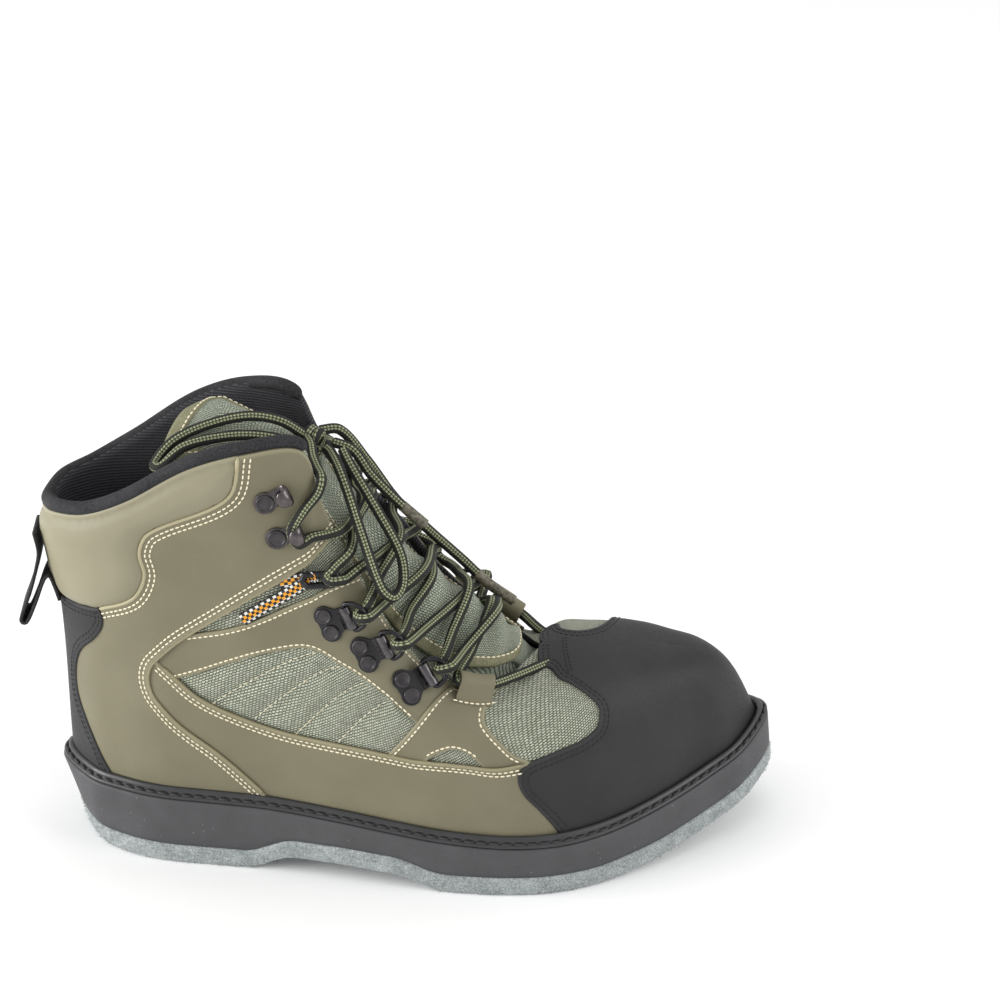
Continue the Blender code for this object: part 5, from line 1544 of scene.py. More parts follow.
@dataclass
class Hardware(Assembly):
    """Ring plates with their D rings, speed hooks, webbing loops with their wire slides."""

    plates: tuple[Fitting, ...] = (
        Fitting("1", 0.409, 0.629, 0.478, 0.852), Fitting("2", 0.475, 0.692, 0.530, 0.922),
        Fitting("3", 0.545, 0.777, 0.586, 0.961))
    hooks: tuple[Fitting, ...] = (
        Fitting("upper", 0.326, 0.861, 0.344, 0.882), Fitting("lower", 0.335, 0.769, 0.355, 0.787))
    slide: Fitting = Fitting("ring", 0.402, 0.745, 0.400, 0.84)
    plate_lift: float = 1.6
    hook_lift: float = 1.95
    slide_lift: float = 3.7
    thick: float = 1.0
    rivet: float = 3.5
    rivet_spacing: float = 8.0
    # Rivet head: share of its radius, and height
    rivet_profile: Rows = ((1.0, -0.4), (1.0, 0.45), (0.96, 0.8), (0.88, 1.0), (0.78, 1.02), (0.72, 0.88),
                           (0.68, 0.66), (0.45, 0.72), (0.0, 0.8))
    rim: float = 1.0
    neck_start: float = 5.4
    curl_start: float = 6.0
    curl_width: float = 10.4
    curl_reach: float = 10.6
    wire: float = 1.1
    ring_play: float = 0.35
    hook_base: float = 5.0
    hook_rivet: float = 4.2
    hook_reach: float = 8.2
    hook_channel: float = 2.8
    hook_width: float = 8.4
    spoon_foot: Rows = ((2.4, 0.7), (4.0, 0.6), (5.6, 0.5))
    spoon_at: tuple[float, ...] = (0.0, 0.25, 0.5, 0.7, 0.86, 0.95, 1.0)
    spoon_wide: tuple[float, ...] = (0.9, 0.95, 1.0, 1.0, 0.85, 0.55, 0.12)
    spoon_thick: float = 0.75
    ring_tilt: float = 12.0
    ring_wire: Rows = ((-5.4, 0.0), (0.0, 0.0), (5.4, 0.0), (6.3, 1.0), (6.2, 2.6), (5.4, 5.0), (3.0, 7.4),
                       (0.0, 8.2), (-3.0, 7.4), (-5.4, 5.0), (-6.2, 2.6), (-6.3, 1.0))
    slide_wire: Rows = ((-6.0, -2.5), (0.0, -2.5), (6.0, -2.5), (7.6, 0.0), (6.0, 2.5), (0.0, 2.5),
                        (-6.0, 2.5), (-7.6, 0.0))
    slide_thick: float = 1.4
    # Both legs of a webbing loop: u and v of the ends, and height over the skin at them
    webbing: tuple[Rows, ...] = (((0.297, 0.551), (0.376, 0.706)), ((0.336, 0.652), (0.386, 0.722)))
    webbing_rise: Rows = ((1.0, 3.2), (1.4, 4.6))
    webbing_wide: float = 5.8
    # Section of the webbing: share of its half width, and height
    webbing_ring: Rows = ((-1.0, 0.0), (-0.96, 0.5), (-0.5, 0.62), (0.0, 0.65), (0.5, 0.62), (0.96, 0.5),
                          (1.0, 0.0), (0.96, -0.4), (0.0, -0.45), (-0.96, -0.4))

    def frame_of(self, side: Side, fitting: Fitting, lift: float) -> tuple[Array, Array]:
        """Place of a fitting and its directions across, towards its aim and out, as rows."""
        u, v = side.value * np.array([fitting.u, fitting.aim_u]), np.array([fitting.v, fitting.aim_v])
        spot, aim = self.last.skin(u, v)
        out = self.last.normal(u[:1], v[:1])[0]
        aim = unit(aim - spot - out * (aim - spot).dot(out))
        return spot + out * lift, np.stack([np.cross(aim, out), aim, out])

    def spot(self, side: Side, fitting: Fitting, lift: float, local: Sequence[float]) -> Array:
        """Table point of a place given in a fitting's own directions."""
        origin, ways = self.frame_of(side, fitting, lift)
        return origin + np.asarray(local, float) @ ways

    def settle(self, shape: BMesh, side: Side, fitting: Fitting, lift: float) -> BMesh:
        """Move a shape made in a fitting's own directions, in millimetres, to its place."""
        origin, ways = self.frame_of(side, fitting, lift)
        for vert in shape.verts:
            vert.co = place(origin + np.array(vert.co[:]) @ ways)
        bmesh.ops.recalc_face_normals(shape, faces=shape.faces[:])
        return shape

    @staticmethod
    def arc(centre: Pair, radius: float, start: float, end: float, steps: int) -> list[Pair]:
        """Points of an arc in a plane, with its angles in degrees."""
        angles = np.radians(np.linspace(start, end, steps + 1))
        return [(centre[0] + radius * math.cos(a), centre[1] + radius * math.sin(a)) for a in angles]

    @staticmethod
    def extrude(shape: BMesh, outline: Sequence[Point], way: Point, rounded: float, both: bool) -> None:
        """Add an extruded outline with the edges of its far end, or of both ends, rounded off.

        Args:
            shape: Shape to add it to.
            outline: Points of the near end.
            way: Direction and length of the extrusion.
            rounded: Width of the rounded edges.
            both: Whether the near end is rounded off too.
        """
        face = shape.faces.new([shape.verts.new(point) for point in outline])
        made = bmesh.ops.extrude_face_region(shape, geom=[face])["geom"]
        moved = [item for item in made if isinstance(item, bmesh.types.BMVert)]
        bmesh.ops.translate(shape, verts=moved, vec=way)
        far, near = set(moved), set(face.verts)
        edges = [edge for edge in shape.edges
                 if far.issuperset(edge.verts) or (both and near.issuperset(edge.verts))]
        bmesh.ops.bevel(shape, geom=edges, offset=rounded, affect="EDGES", segments=3, profile=0.5,
                        material=-1)

    @staticmethod
    def paint(shape: BMesh, done: set, index: int) -> None:
        """Give the faces that were added since done was noted a material of the piece."""
        for face in set(shape.faces) - done:
            face.material_index = index

    def rivet_head(self, shape: BMesh, x: float, base: float, radius: float) -> None:
        """Add a rivet head: a rounded rim round a slightly sunk disc, spun about its axis."""
        verts = [shape.verts.new((x + radius * share, 0.0, base + z)) for share, z in self.rivet_profile]
        edges = [shape.edges.new(pair) for pair in zip(verts, verts[1:])]
        done = set(shape.faces)
        bmesh.ops.spin(shape, geom=verts + edges, cent=(x, 0.0, base), axis=UP, angle=2 * math.pi, steps=28,
                       use_merge=True)
        self.paint(shape, done, 1)

    def plate_shape(self) -> BMesh:
        """Two-lobed plate with the curl that holds its ring, and its rivets, in its own directions."""
        shape = bmesh.new()
        half, lobe, neck = self.rivet_spacing / 2, self.rivet + self.rim, self.curl_width / 2
        points = [(neck, self.curl_reach - 0.4), (neck, self.neck_start)]
        points += self.arc((half, 0.0), lobe, 55, -120, 18) + self.arc((-half, 0.0), lobe, -60, -235, 18)
        points += [(-neck, self.neck_start), (-neck, self.curl_reach - 0.4)]
        self.extrude(shape, [(x, y, 0.0) for x, y in points], (0.0, 0.0, self.thick), 0.3, False)
        done = set(shape.faces)
        inner = self.wire + self.ring_play
        outer, width = inner + self.thick, self.curl_width - 0.1
        curl = [(self.curl_start, 0.0)] + self.arc((self.curl_reach, outer), outer, -90, 165, 14)
        curl += self.arc((self.curl_reach, outer), inner, 165, -90, 14) + [(self.curl_start, self.thick)]
        self.extrude(shape, [(-width / 2, y, z) for y, z in curl], (width, 0.0, 0.0), 0.32, True)
        self.paint(shape, done, 2)
        for x in (half, -half):
            self.rivet_head(shape, x, self.thick, self.rivet)
        return shape

    def spoon(self, shape: BMesh) -> None:
        """Add the rounded tongue of a hook, which runs out along y and curls back over the lace."""
        bend = self.hook_channel + self.thick / 2
        line = np.array(self.spoon_foot + tuple(self.arc((self.hook_reach, bend + 0.5), bend, -90, 145, 20)))
        share = lengths(line) / lengths(line)[-1]
        half = self.hook_width / 2 * np.interp(share, self.spoon_at, self.spoon_wide)
        way = unit(np.gradient(line, axis=0))
        turns = np.linspace(0.0, 2 * math.pi, 16, endpoint=False)
        rings = []
        for (y, z), (ahead_y, ahead_z), wide in zip(line, way, half):
            deep = min(self.spoon_thick, wide) * np.sin(turns)
            places = np.column_stack([wide * np.cos(turns), y - ahead_z * deep, z + ahead_y * deep])
            rings.append([shape.verts.new(spot) for spot in places])
        for low, high in zip(rings, rings[1:]):
            for k in range(len(turns)):
                shape.faces.new((low[k - 1], low[k], high[k], high[k - 1]))
        shape.faces.new(rings[0])
        shape.faces.new(rings[-1])

    def hook_shape(self) -> BMesh:
        """Speed hook: a round base with its sunk rivet and a tongue that curls back over the lace."""
        shape = bmesh.new()
        base = self.arc((0.0, 0.0), self.hook_base, 0, 350, 35)
        self.extrude(shape, [(x, y, 0.0) for x, y in base], (0.0, 0.0, self.thick), 0.3, False)
        self.spoon(shape)
        self.rivet_head(shape, 0.0, self.thick, self.hook_rivet)
        return shape

    def ring_line(self) -> Array:
        """Middle line of a D ring in its plate's directions."""
        tilt = math.radians(self.ring_tilt)
        height = self.wire + self.ring_play + self.thick
        x, y = curve_through(self.ring_wire + self.ring_wire[:1], 0.8)[:-1].T
        return np.column_stack([x, self.curl_reach + y * math.cos(tilt), height + y * math.sin(tilt)])

    def ring_piece(self, name: str, side: Side, fitting: Fitting, lift: float, line: Array,
                   wire: float) -> None:
        """Closed wire ring laid in a fitting's directions."""
        origin, ways = self.frame_of(side, fitting, lift)
        shape = tube(origin + line @ ways, wire, 12, ways[2], closed=True)
        add_piece(name + "_wire", shape, self.finishes.wire, [name])

    def build(self) -> None:
        """Build and dress every fitting."""
        flat = curve_through(self.slide_wire + self.slide_wire[:1], 0.8)[:-1]
        slide_line = np.column_stack([flat, np.zeros(len(flat))])
        made = self.finishes
        for side in Side:
            for fitting in self.plates:
                tail = side.word + "_" + fitting.word
                shape = self.settle(self.plate_shape(), side, fitting, self.plate_lift)
                add_piece("plate_" + tail, shape, made.plate, ["ring_plate_" + tail], sharp=50,
                          more=[made.rivet, made.bar])
                self.ring_piece("d_ring_" + tail, side, fitting, self.plate_lift, self.ring_line(), self.wire)
            for fitting in self.hooks:
                tail = side.word + "_" + fitting.word
                shape = self.settle(self.hook_shape(), side, fitting, self.hook_lift)
                add_piece("speed_hook_" + tail, shape, made.hook, ["hook_" + tail], sharp=50,
                          more=[made.rivet])
            self.ring_piece("slide_" + side.word, side, self.slide, self.slide_lift, slide_line,
                            self.slide_thick)
            self.build_webbing(side)

    def build_webbing(self, side: Side) -> None:
        """Loop of checked webbing: two legs that meet in the slide, as one piece."""
        ring = np.array(self.webbing_ring) * (self.webbing_wide / 2, 1.0)
        whole = bmesh.new()
        for ends, (low, high) in zip(self.webbing, self.webbing_rise):
            rows = np.array(ends)
            line = curve_through(self.last.flat(side.value * rows[:, 0], rows[:, 1]), 1.0)
            run = lengths(line)
            u, v = self.last.unflat(line)
            rise = np.interp(run / run[-1], (0.0, 0.6, 1.0), (low, low + 0.3, high))
            middle = self.last.lifted(u, v, rise)
            out = self.last.normal(u, v)
            across = unit(np.cross(out, unit(np.gradient(middle, axis=0)))) * side.value
            leg = baked("leg", sweep(middle, across, out, ring, run))
            whole.from_mesh(leg)
            bpy.data.meshes.remove(leg)
        add_piece("checked_loop_" + side.word, whole, self.finishes.check,
                  ["webbing_loop_" + side.word])


@dataclass
class Tongue(Assembly):
    """Padded tongue with its binding, and the lace tunnels beside it."""

    thick: float = 4.0
    rib_depth: float = 1.3
    rib_pitch: float = 0.085
    rib_at: float = 0.41
    rib_ends: Pair = (0.26, 0.93)
    end_round: float = 0.035
    # Centre line, half width, sag of the edges and drop of the lateral edge, from the toe end up
    rows: Rows = (
        (226, -1.0, 92.4, 13, 0.8, 0), (212.5, -2.0, 87.5, 12, 1, 0), (205.5, -2.0, 93.5, 12, 3, 0),
        (201, -2.5, 101.5, 14, 7, 0.5), (190, -3.5, 110.0, 20, 12, 3), (172, -4.0, 123.0, 25, 17, 6),
        (152, -4.0, 142.0, 26, 20, 7), (132, -4.0, 165.0, 25, 18, 4), (114, -3.0, 188.0, 23, 13, 1),
        (95, 0.0, 200.5, 23, 12, 0), (74, 2.0, 207.0, 22, 13, 7))
    # Reach of the flap past the last row, at its medial and its lateral edge
    flap_medial: Point = (-8.0, 0.0, -5.0)
    flap_lateral: Point = (-28.0, 0.0, -1.0)
    # Binding down one edge of the tongue: places along it, and across it at the outer and inner edge
    binding: Rows = ((0.95, 1.0, 0.70), (0.80, 1.0, 0.76), (0.60, 1.0, 0.85), (0.45, 1.0, 0.86),
                     (0.37, 1.0, 0.83))
    # The same round its lower end: outer place along and across, inner place along and across
    binding_end: Rows = ((0.30, 0.95, 0.319, 0.77), (0.265, 0.70, 0.288, 0.58), (0.25, 0.35, 0.274, 0.30),
                         (0.247, 0.0, 0.270, 0.0))
    binding_top: float = 0.085
    # Section of the binding: share of the way to its inner edge, and height over the tongue
    binding_profile: Rows = ((0.02, -1.2), (-0.03, -0.2), (0.0, 0.7), (0.06, 1.15), (0.3, 1.3), (0.6, 1.3),
                             (0.85, 1.25), (0.97, 1.0), (1.0, 0.2))
    gusset: Rows = ((0.41, 0.78), (0.44, 0.72), (0.49, 0.61), (0.545, 0.47), (0.60, 0.30), (0.65, 0.17))
    tunnel_ends: Pair = (0.612, 0.640)
    tunnel_level: float = 0.96
    tunnel_radius: float = 3.9
    tunnel_leather: float = 1.0
    tunnel_lift: float = 6.0
    # Foot of a tunnel on its vamp panel: v, and height over the skin
    tunnel_feet: Rows = ((0.860, 1.6), (0.875, 2.9), (0.895, 4.2))

    def surface(self, s: Array, w: Array) -> Array:
        """Point on the tongue's outer face: s from the toe end to the top, w across from -1 to 1."""
        table = np.array(self.rows, float)
        x, y, z, half, sag, drop = smooth(np.linspace(0.0, 1.0, len(table)), table, np.minimum(s, 1.0)).T
        points = np.column_stack([x, y + half * w, z - sag * w * w + drop * w])
        flap = self.flap(w)
        past = np.maximum(s - 1.0, 0.0) * 100.0
        long = np.linalg.norm(flap, axis=1)
        points += flap / long[:, None] * past[:, None]
        points[:, 2] += 5.0 * np.clip(past / long, 0.0, 1.0) * (1.0 - np.clip(past / long, 0.0, 1.0))
        return points

    def flap(self, w: Array) -> Array:
        """Reach of the flap past the last row at places across the tongue."""
        share = (np.clip(w, -1.0, 1.0)[:, None] + 1.0) / 2.0
        return np.array(self.flap_lateral) * (1.0 - share) + np.array(self.flap_medial) * share

    def top_end(self, w: Array) -> Array:
        """Place along the tongue where it ends; past 1, each 0.01 is a millimetre of flap."""
        return 1.0 + np.linalg.norm(self.flap(np.asarray(w, float)), axis=1) / 100.0

    def normal(self, s: Array, w: Array) -> Array:
        """Outward unit normal of the tongue."""
        ahead = self.surface(s + 0.004, w) - self.surface(np.maximum(s - 0.004, 0.0), w)
        across = self.surface(s, w + 0.004) - self.surface(s, w - 0.004)
        cross = unit(np.cross(across, ahead))
        return cross * np.where(cross[:, 2:] > 0, 1.0, -1.0)

    def build(self) -> None:
        """Build and dress the tongue and the lace tunnels."""

        def form(a: Array, b: Array) -> Array:
            """Points of the padding."""
            turn = b * 2 * math.pi
            w = np.cos(turn)
            w = np.sign(w) * np.abs(w) ** 0.7
            face = np.sin(turn)
            past = np.clip((a - 1 + self.end_round) / self.end_round, 0.0, 1.0)
            end = np.sqrt(np.clip(1 - past ** 2, 0.03, 1.0))
            s = a * self.top_end(w)
            wave = np.cos((s - self.rib_at) * 2 * math.pi / self.rib_pitch)
            ribbed = (s < self.rib_ends[1]) * (s > self.rib_ends[0])
            rib = -self.rib_depth * wave * np.clip(face, 0.0, 1.0) * ribbed
            half = self.thick / 2
            lift = -half + (half + 0.5 + rib) * np.sign(face) * np.abs(face) ** 0.6 * end
            return self.surface(s, w) + self.normal(s, w) * lift[:, None]

        def sheet(a: Array, b: Array) -> Array:
            """Flat places of the padding."""
            return np.stack([a * 280.0, np.cos(b * 2 * math.pi) * 25.0], axis=1)

        shape = close_shape(mapped_grid(150, 40, form, sheet))
        tongue = add_piece("tongue_padding", shape, self.finishes.tongue_mesh, ["tongue"])
        self.build_binding()
        for side in Side:
            self.build_gusset(side)
            self.build_tunnel(side)

    def build_gusset(self, side: Side) -> None:
        """Thin web of mesh that joins the tongue's edge to the inside of the throat."""
        rows = np.array(self.gusset)
        knots = np.linspace(0.0, 1.0, len(rows))

        def form(a: Array, b: Array) -> Array:
            """Points of the web."""
            u, s = smooth(knots, rows, a).T
            wall = self.last.lifted(side.value * u, np.full_like(u, 0.955), -3.3)
            w = np.full_like(s, side.value * 0.86)
            edge = self.surface(s, w) - self.normal(s, w) * 2.6
            points = wall * (1 - b)[:, None] + edge * b[:, None]
            points[:, 2] -= 4.0 * np.sin(math.pi * b)
            return points

        def sheet(a: Array, b: Array) -> Array:
            """Flat places of the web."""
            return np.stack([a * 130.0, b * 16.0], axis=1)

        shape = mapped_grid(60, 10, form, sheet)
        bmesh.ops.recalc_face_normals(shape, faces=shape.faces[:])
        add_piece("tongue_gusset_" + side.word, shape, self.finishes.tongue_mesh)

    def build_binding(self) -> None:
        """Olive tape round the tongue's edge with its row of stitches."""
        edges = []
        for turn in (1.0, -1.0):
            across = np.array([0.0, 0.6, 0.9]) * turn
            top = self.top_end(across)
            rows = [(s, w, s - self.binding_top, w * 0.8) for s, w in zip(top, across)]
            last = float(self.top_end(np.array([turn]))[0])
            rows.append((last - 0.02, turn, last - self.binding_top - 0.05, 0.70 * turn))
            rows += [(s, outer * turn, s, inner * turn) for s, outer, inner in self.binding]
            rows += [(s, w * turn, low, inner * turn) for s, w, low, inner in self.binding_end]
            edges.append(np.array(rows))
        loop = np.vstack([edges[0], edges[1][-2::-1]])
        outer, inner = loop[:, :2], loop[:, 2:]
        knots = np.linspace(0.0, 1.0, len(outer))
        profile = np.array(self.binding_profile)

        def form(a: Array, b: Array) -> Array:
            """Points of the binding."""
            k = step_at(b, len(profile) - 1)
            share = profile[k, :1]
            s, w = (smooth(knots, outer, a) * (1 - share) + smooth(knots, inner, a) * share).T
            return self.surface(s, w) + self.normal(s, w) * profile[k, 1:]

        shape = close_shape(mapped_grid(230, len(profile) - 1, form), fill=False)
        add_piece("tongue_binding", shape, self.finishes.binding)
        at = np.linspace(0.0, 1.0, 600)
        s, w = (smooth(knots, outer, at) * 0.18 + smooth(knots, inner, at) * 0.82).T
        normal = self.normal(s, w)
        self.sewing.row(self.surface(s, w) + normal * 1.35, normal, Thread.CREAM)

    def tunnel_line(self, side: Side) -> Array:
        """Middle line of a lace tunnel, just over the throat edge."""
        u = side.value * np.linspace(self.tunnel_ends[0], self.tunnel_ends[1], 14)
        v = np.full_like(u, self.tunnel_level)
        return self.last.lifted(u, v, self.tunnel_lift)

    def build_tunnel(self, side: Side) -> None:
        """Leather tab that rises from a vamp panel, wraps the lace and is sewn down at its foot."""
        line = self.tunnel_line(side)
        u = side.value * np.linspace(self.tunnel_ends[0], self.tunnel_ends[1], len(line))
        level = np.full_like(u, self.tunnel_level)
        rise = unit(self.last.skin(u, level + 0.01) - self.last.skin(u, level - 0.03))
        out = self.last.normal(u, level)
        turns = np.radians(np.linspace(128.0, -150.0, 23))
        feet = self.tunnel_feet
        count = len(feet) + len(turns)

        def form(a: Array, b: Array) -> Array:
            """Points of the tab: its outside and, back again, its inside."""
            i = step_at(a, len(line) - 1)
            k = step_at(b, 2 * count) % (2 * count)
            inside = k >= count
            k = np.where(inside, 2 * count - 1 - k, k)
            end = (i == 0) | (i == len(line) - 1)
            leather = np.where(inside, self.tunnel_leather, np.where(end, 0.35, 0.0))
            points = np.zeros((len(a), 3))
            for row, (v, lift) in enumerate(feet):
                mask = k == row
                points[mask] = self.last.lifted(u[i[mask]], np.full(mask.sum(), v), lift - leather[mask])
            mask = k >= len(feet)
            turn = turns[k[mask] - len(feet)][:, None]
            ray = rise[i[mask]] * np.cos(turn) + out[i[mask]] * np.sin(turn)
            reach = self.tunnel_radius + self.tunnel_leather - leather[mask]
            points[mask] = line[i[mask]] + ray * reach[:, None]
            return points

        shape = close_shape(mapped_grid(len(line) - 1, 2 * count, form))
        add_piece("tunnel_leather_" + side.word, shape, self.finishes.olive,
                  ["lace_tunnel_" + side.word], sharp=60)
        foot = np.linspace(self.tunnel_ends[0] - 0.004, self.tunnel_ends[1] + 0.003, 20) * side.value
        self.sewing.skin_row(self.last.flat(foot, np.full(20, 0.868)), 2.7, Thread.CREAM)


@dataclass
class Lacing:
    """Lace run through the fittings, its knot, bow and ends with their tips."""

    last: Last
    finishes: Finishes
    hardware: Hardware
    tongue: Tongue
    radius: float = 2.3
    # Direction that the pale rows of the braid face
    face: Point = (0.1, -0.8, 0.6)
    knot: Rows = ((110.4, 0.5, 194.9), (114.4, 3.5, 193.9), (118.4, -1.5, 192.4))
    bow_rear: Rows = ((109.8, -1.5, 197.8), (100, -6, 206.5), (87, -7, 209), (70, -9, 206), (55, -14, 200.5),
                      (47, -20, 192.5), (50, -25, 193), (60, -20, 200.5), (77, -16, 203.5), (92, -14, 203),
                      (107.5, -7, 195.5))
    bow_front: Rows = ((119.15, -2.5, 192.1), (121.9, -5.9, 191.1), (128, -25, 187), (136, -35, 165),
                       (144, -42, 144), (149, -41, 139), (153, -36, 143), (152, -30, 154), (143, -25, 171),
                       (131, -14, 188), (126.5, -6, 193.5))
    end_long: Rows = ((115.4, 6.9, 195.5), (125, 10, 194.5), (136, 13, 179), (149, 19, 156), (163, 23, 139),
                      (178, 25, 123), (189, 25, 111.5), (202, 23, 102.5))
    end_short: Rows = ((121.7, 0.9, 193.2), (131, -1, 190), (139, -5, 180), (150, -8, 169), (163, -9, 157))
    tip_long: float = 24.0
    tip_short: float = 16.0
    step: float = 1.2
    settle: float = 0.12

    def __post_init__(self) -> None:
        """Read the tongue's outer face, which the lace lies on."""
        s, w = (part.ravel() for part in np.meshgrid(np.linspace(0.2, 1.0, 130), np.linspace(-1.0, 1.0, 33)))
        self.pad = self.tongue.surface(s, w)
        self.pad_out = self.tongue.normal(s, w)

    def build(self) -> None:
        """Build and dress the lace."""
        self.build_free()
        self.build_runs()

    def clear(self, spot: Array, gap: float) -> Array:
        """Point moved out until it clears the tongue under it by a distance."""
        k = int(np.argmin(np.linalg.norm(self.pad - spot, axis=1)))
        high = (spot - self.pad[k]) @ self.pad_out[k]
        beside = np.linalg.norm(spot - self.pad[k] - high * self.pad_out[k])
        return spot if beside > 4.0 else spot + self.pad_out[k] * max(gap - high, 0.0)

    def build_free(self) -> None:
        """Bow, ends and knot, each where its CAD solid lies."""
        routes = (("lace_bow_rear", self.bow_rear, 0.0), ("lace_bow_front", self.bow_front, 0.0),
                  ("lace_end_long", self.end_long, self.tip_long),
                  ("lace_end_short", self.end_short, self.tip_short))
        for name, route, tip in routes:
            spots = [self.clear(np.array(spot, float), self.radius + 0.3) for spot in route]
            line = curve_through(spots, self.step)
            shape = tube(line, self.radius, 20, self.face, ends=1.0, settle=self.settle)
            piece = add_piece(name + "_braid", shape, self.finishes.lace, [name])
            path = place(line)
            if tip > 0.0:
                run = lengths(line)
                last = line[run > run[-1] - tip]
                rod = tube(last, self.radius + 0.18, 16, self.face, ends=1.2)
                add_piece(name + "_tip", rod, self.finishes.aglet)
        self.build_knot()

    def build_knot(self) -> None:
        """Knot of the bow: the lace wound round the strands that it holds."""
        rows = np.array(self.knot)
        middle = rows.mean(axis=0)
        axis = unit(rows[2] - rows[0])
        side = unit(np.cross(axis, UP))
        up = np.cross(side, axis)
        turn = np.linspace(0.2, 2 * math.pi * 2.0, 70)
        reach = np.linspace(-3.6, 3.6, 70)
        line = (middle + axis * reach[:, None] + side * (3.7 * np.cos(turn))[:, None]
                + up * (4.0 * np.sin(turn))[:, None])
        shape = tube(line, self.radius, 20, self.face, ends=1.0, settle=self.settle)
        add_piece("lace_knot_braid", shape, self.finishes.lace, ["lace_knot"])

    def on_skin(self, side: Side, *rows: Point) -> list[Array]:
        """Points at heights over the skin of one side, given as u, v and height."""
        u, v, rise = np.array(rows).T
        return list(self.last.lifted(side.value * u, v, rise))

    def at_fitting(self, side: Side, fitting: Fitting, lift: float, *spots: Point) -> list[Array]:
        """Points in a fitting's own directions, with the first one mirrored on the medial side."""
        return [self.hardware.spot(side, fitting, lift, (-side.value * x, y, z)) for x, y, z in spots]

    def through_ring(self, side: Side, fitting: Fitting) -> list[Array]:
        """Lace over the far wire of a D ring, through it and back under it."""
        far = self.hardware.curl_reach + 8.0
        points = self.at_fitting(
            side, fitting, self.hardware.plate_lift, (1.9, far + 1.6, 7.0), (1.3, far - 0.9, 7.1),
            (0.2, far - 3.4, 4.4), (-0.9, far - 0.9, 1.3), (-1.7, far + 1.8, 1.4))
        if side is Side.LATERAL or fitting is self.hardware.plates[2]:
            return points
        slope = (fitting.aim_u - fitting.u) / (fitting.aim_v - fitting.v)
        edge = fitting.aim_u + (0.985 - fitting.aim_v) * slope
        before = self.on_skin(side, (edge + 0.010, 0.985, 4.2), (fitting.aim_u + 0.008, fitting.aim_v, 5.4))
        after = self.on_skin(side, (fitting.aim_u - 0.008, fitting.aim_v, 3.9), (edge - 0.010, 0.985, 4.2))
        return before + points + after

    def round_hook(self, side: Side) -> list[Array]:
        """Lace over the throat edge, round the lower speed hook and on up to the top line."""
        reach = self.hardware.hook_reach
        points = self.on_skin(side, (0.444, 0.99, 4.5), (0.412, 0.89, 4.3), (0.375, 0.80, 4.0))
        points += self.at_fitting(
            side, self.hardware.hooks[1], self.hardware.hook_lift,
            (4.4, reach + 0.6, 3.8), (3.0, reach - 0.6, 3.9), (0.0, reach - 1.0, 3.9),
            (-3.4, reach - 0.4, 3.9), (-5.6, reach + 1.6, 3.7))
        if side is Side.MEDIAL:
            return points + self.on_skin(side, (0.366, 0.858, 4.8), (0.392, 0.925, 4.6), (0.418, 0.985, 3.2))
        return points + self.on_skin(side, (0.364, 0.858, 5.2), (0.378, 0.915, 5.4), (0.388, 0.97, 5.6))

    def through_slide(self, side: Side) -> list[Array]:
        """Lace over the throat edge, through the wire slide of the webbing loop and back."""
        points = self.on_skin(side, (0.478, 0.985, 4.4), (0.455, 0.885, 4.2))
        points += self.at_fitting(side, self.hardware.slide, self.hardware.slide_lift, (8.6, -0.4, 2.6),
                                  (4.6, 0.0, 3.4), (3.0, 1.6, 1.8), (5.2, 3.4, 1.2))
        return points + self.on_skin(side, (0.438, 0.875, 4.4), (0.463, 0.99, 4.8))

    def crossing(self, start: Array, end: Array, over: float) -> list[Array]:
        """Straight run from one side to the other, raised where the tongue lies in its way."""
        gap = self.radius + 0.4
        return [self.clear(start * (1 - t) + end * t, gap + over * math.sin(math.pi * t))
                for t in (0.25, 0.5, 0.75)]

    def build_runs(self) -> None:
        """Both halves of the lace, from the toe tunnels up through the fittings to the knot."""
        plates = self.hardware.plates
        nodes = ["lace_crossing_" + str(k + 1) for k in range(5)]
        knot = np.array(self.knot)
        for start, over, word in ((Side.LATERAL, 0.0, "under"), (Side.MEDIAL, 2 * self.radius, "over")):
            other = Side.MEDIAL if start is Side.LATERAL else Side.LATERAL
            tunnel = self.tongue.tunnel_line(start)
            points = [np.array([226.0, start.value * 6.0 - 2.0, 93.5]),
                      np.array([216.0, start.value * 13.0 - 3.0, 93.0]),
                      tunnel[-1], tunnel[len(tunnel) // 2], tunnel[0]]
            near = knot[0] if other is Side.LATERAL else knot[1]
            stops = (self.through_ring(other, plates[2]), self.through_ring(start, plates[1]),
                     self.through_ring(other, plates[0]), self.through_slide(start), self.round_hook(other),
                     [near + np.array(UP)])
            for stop in stops:
                points += self.crossing(points[-1], stop[0], over) + stop
            shape = tube(curve_through(points, self.step), self.radius, 18, self.face, settle=self.settle)
            add_piece("lace_run_" + word, shape, self.finishes.lace, nodes if word == "under" else ())


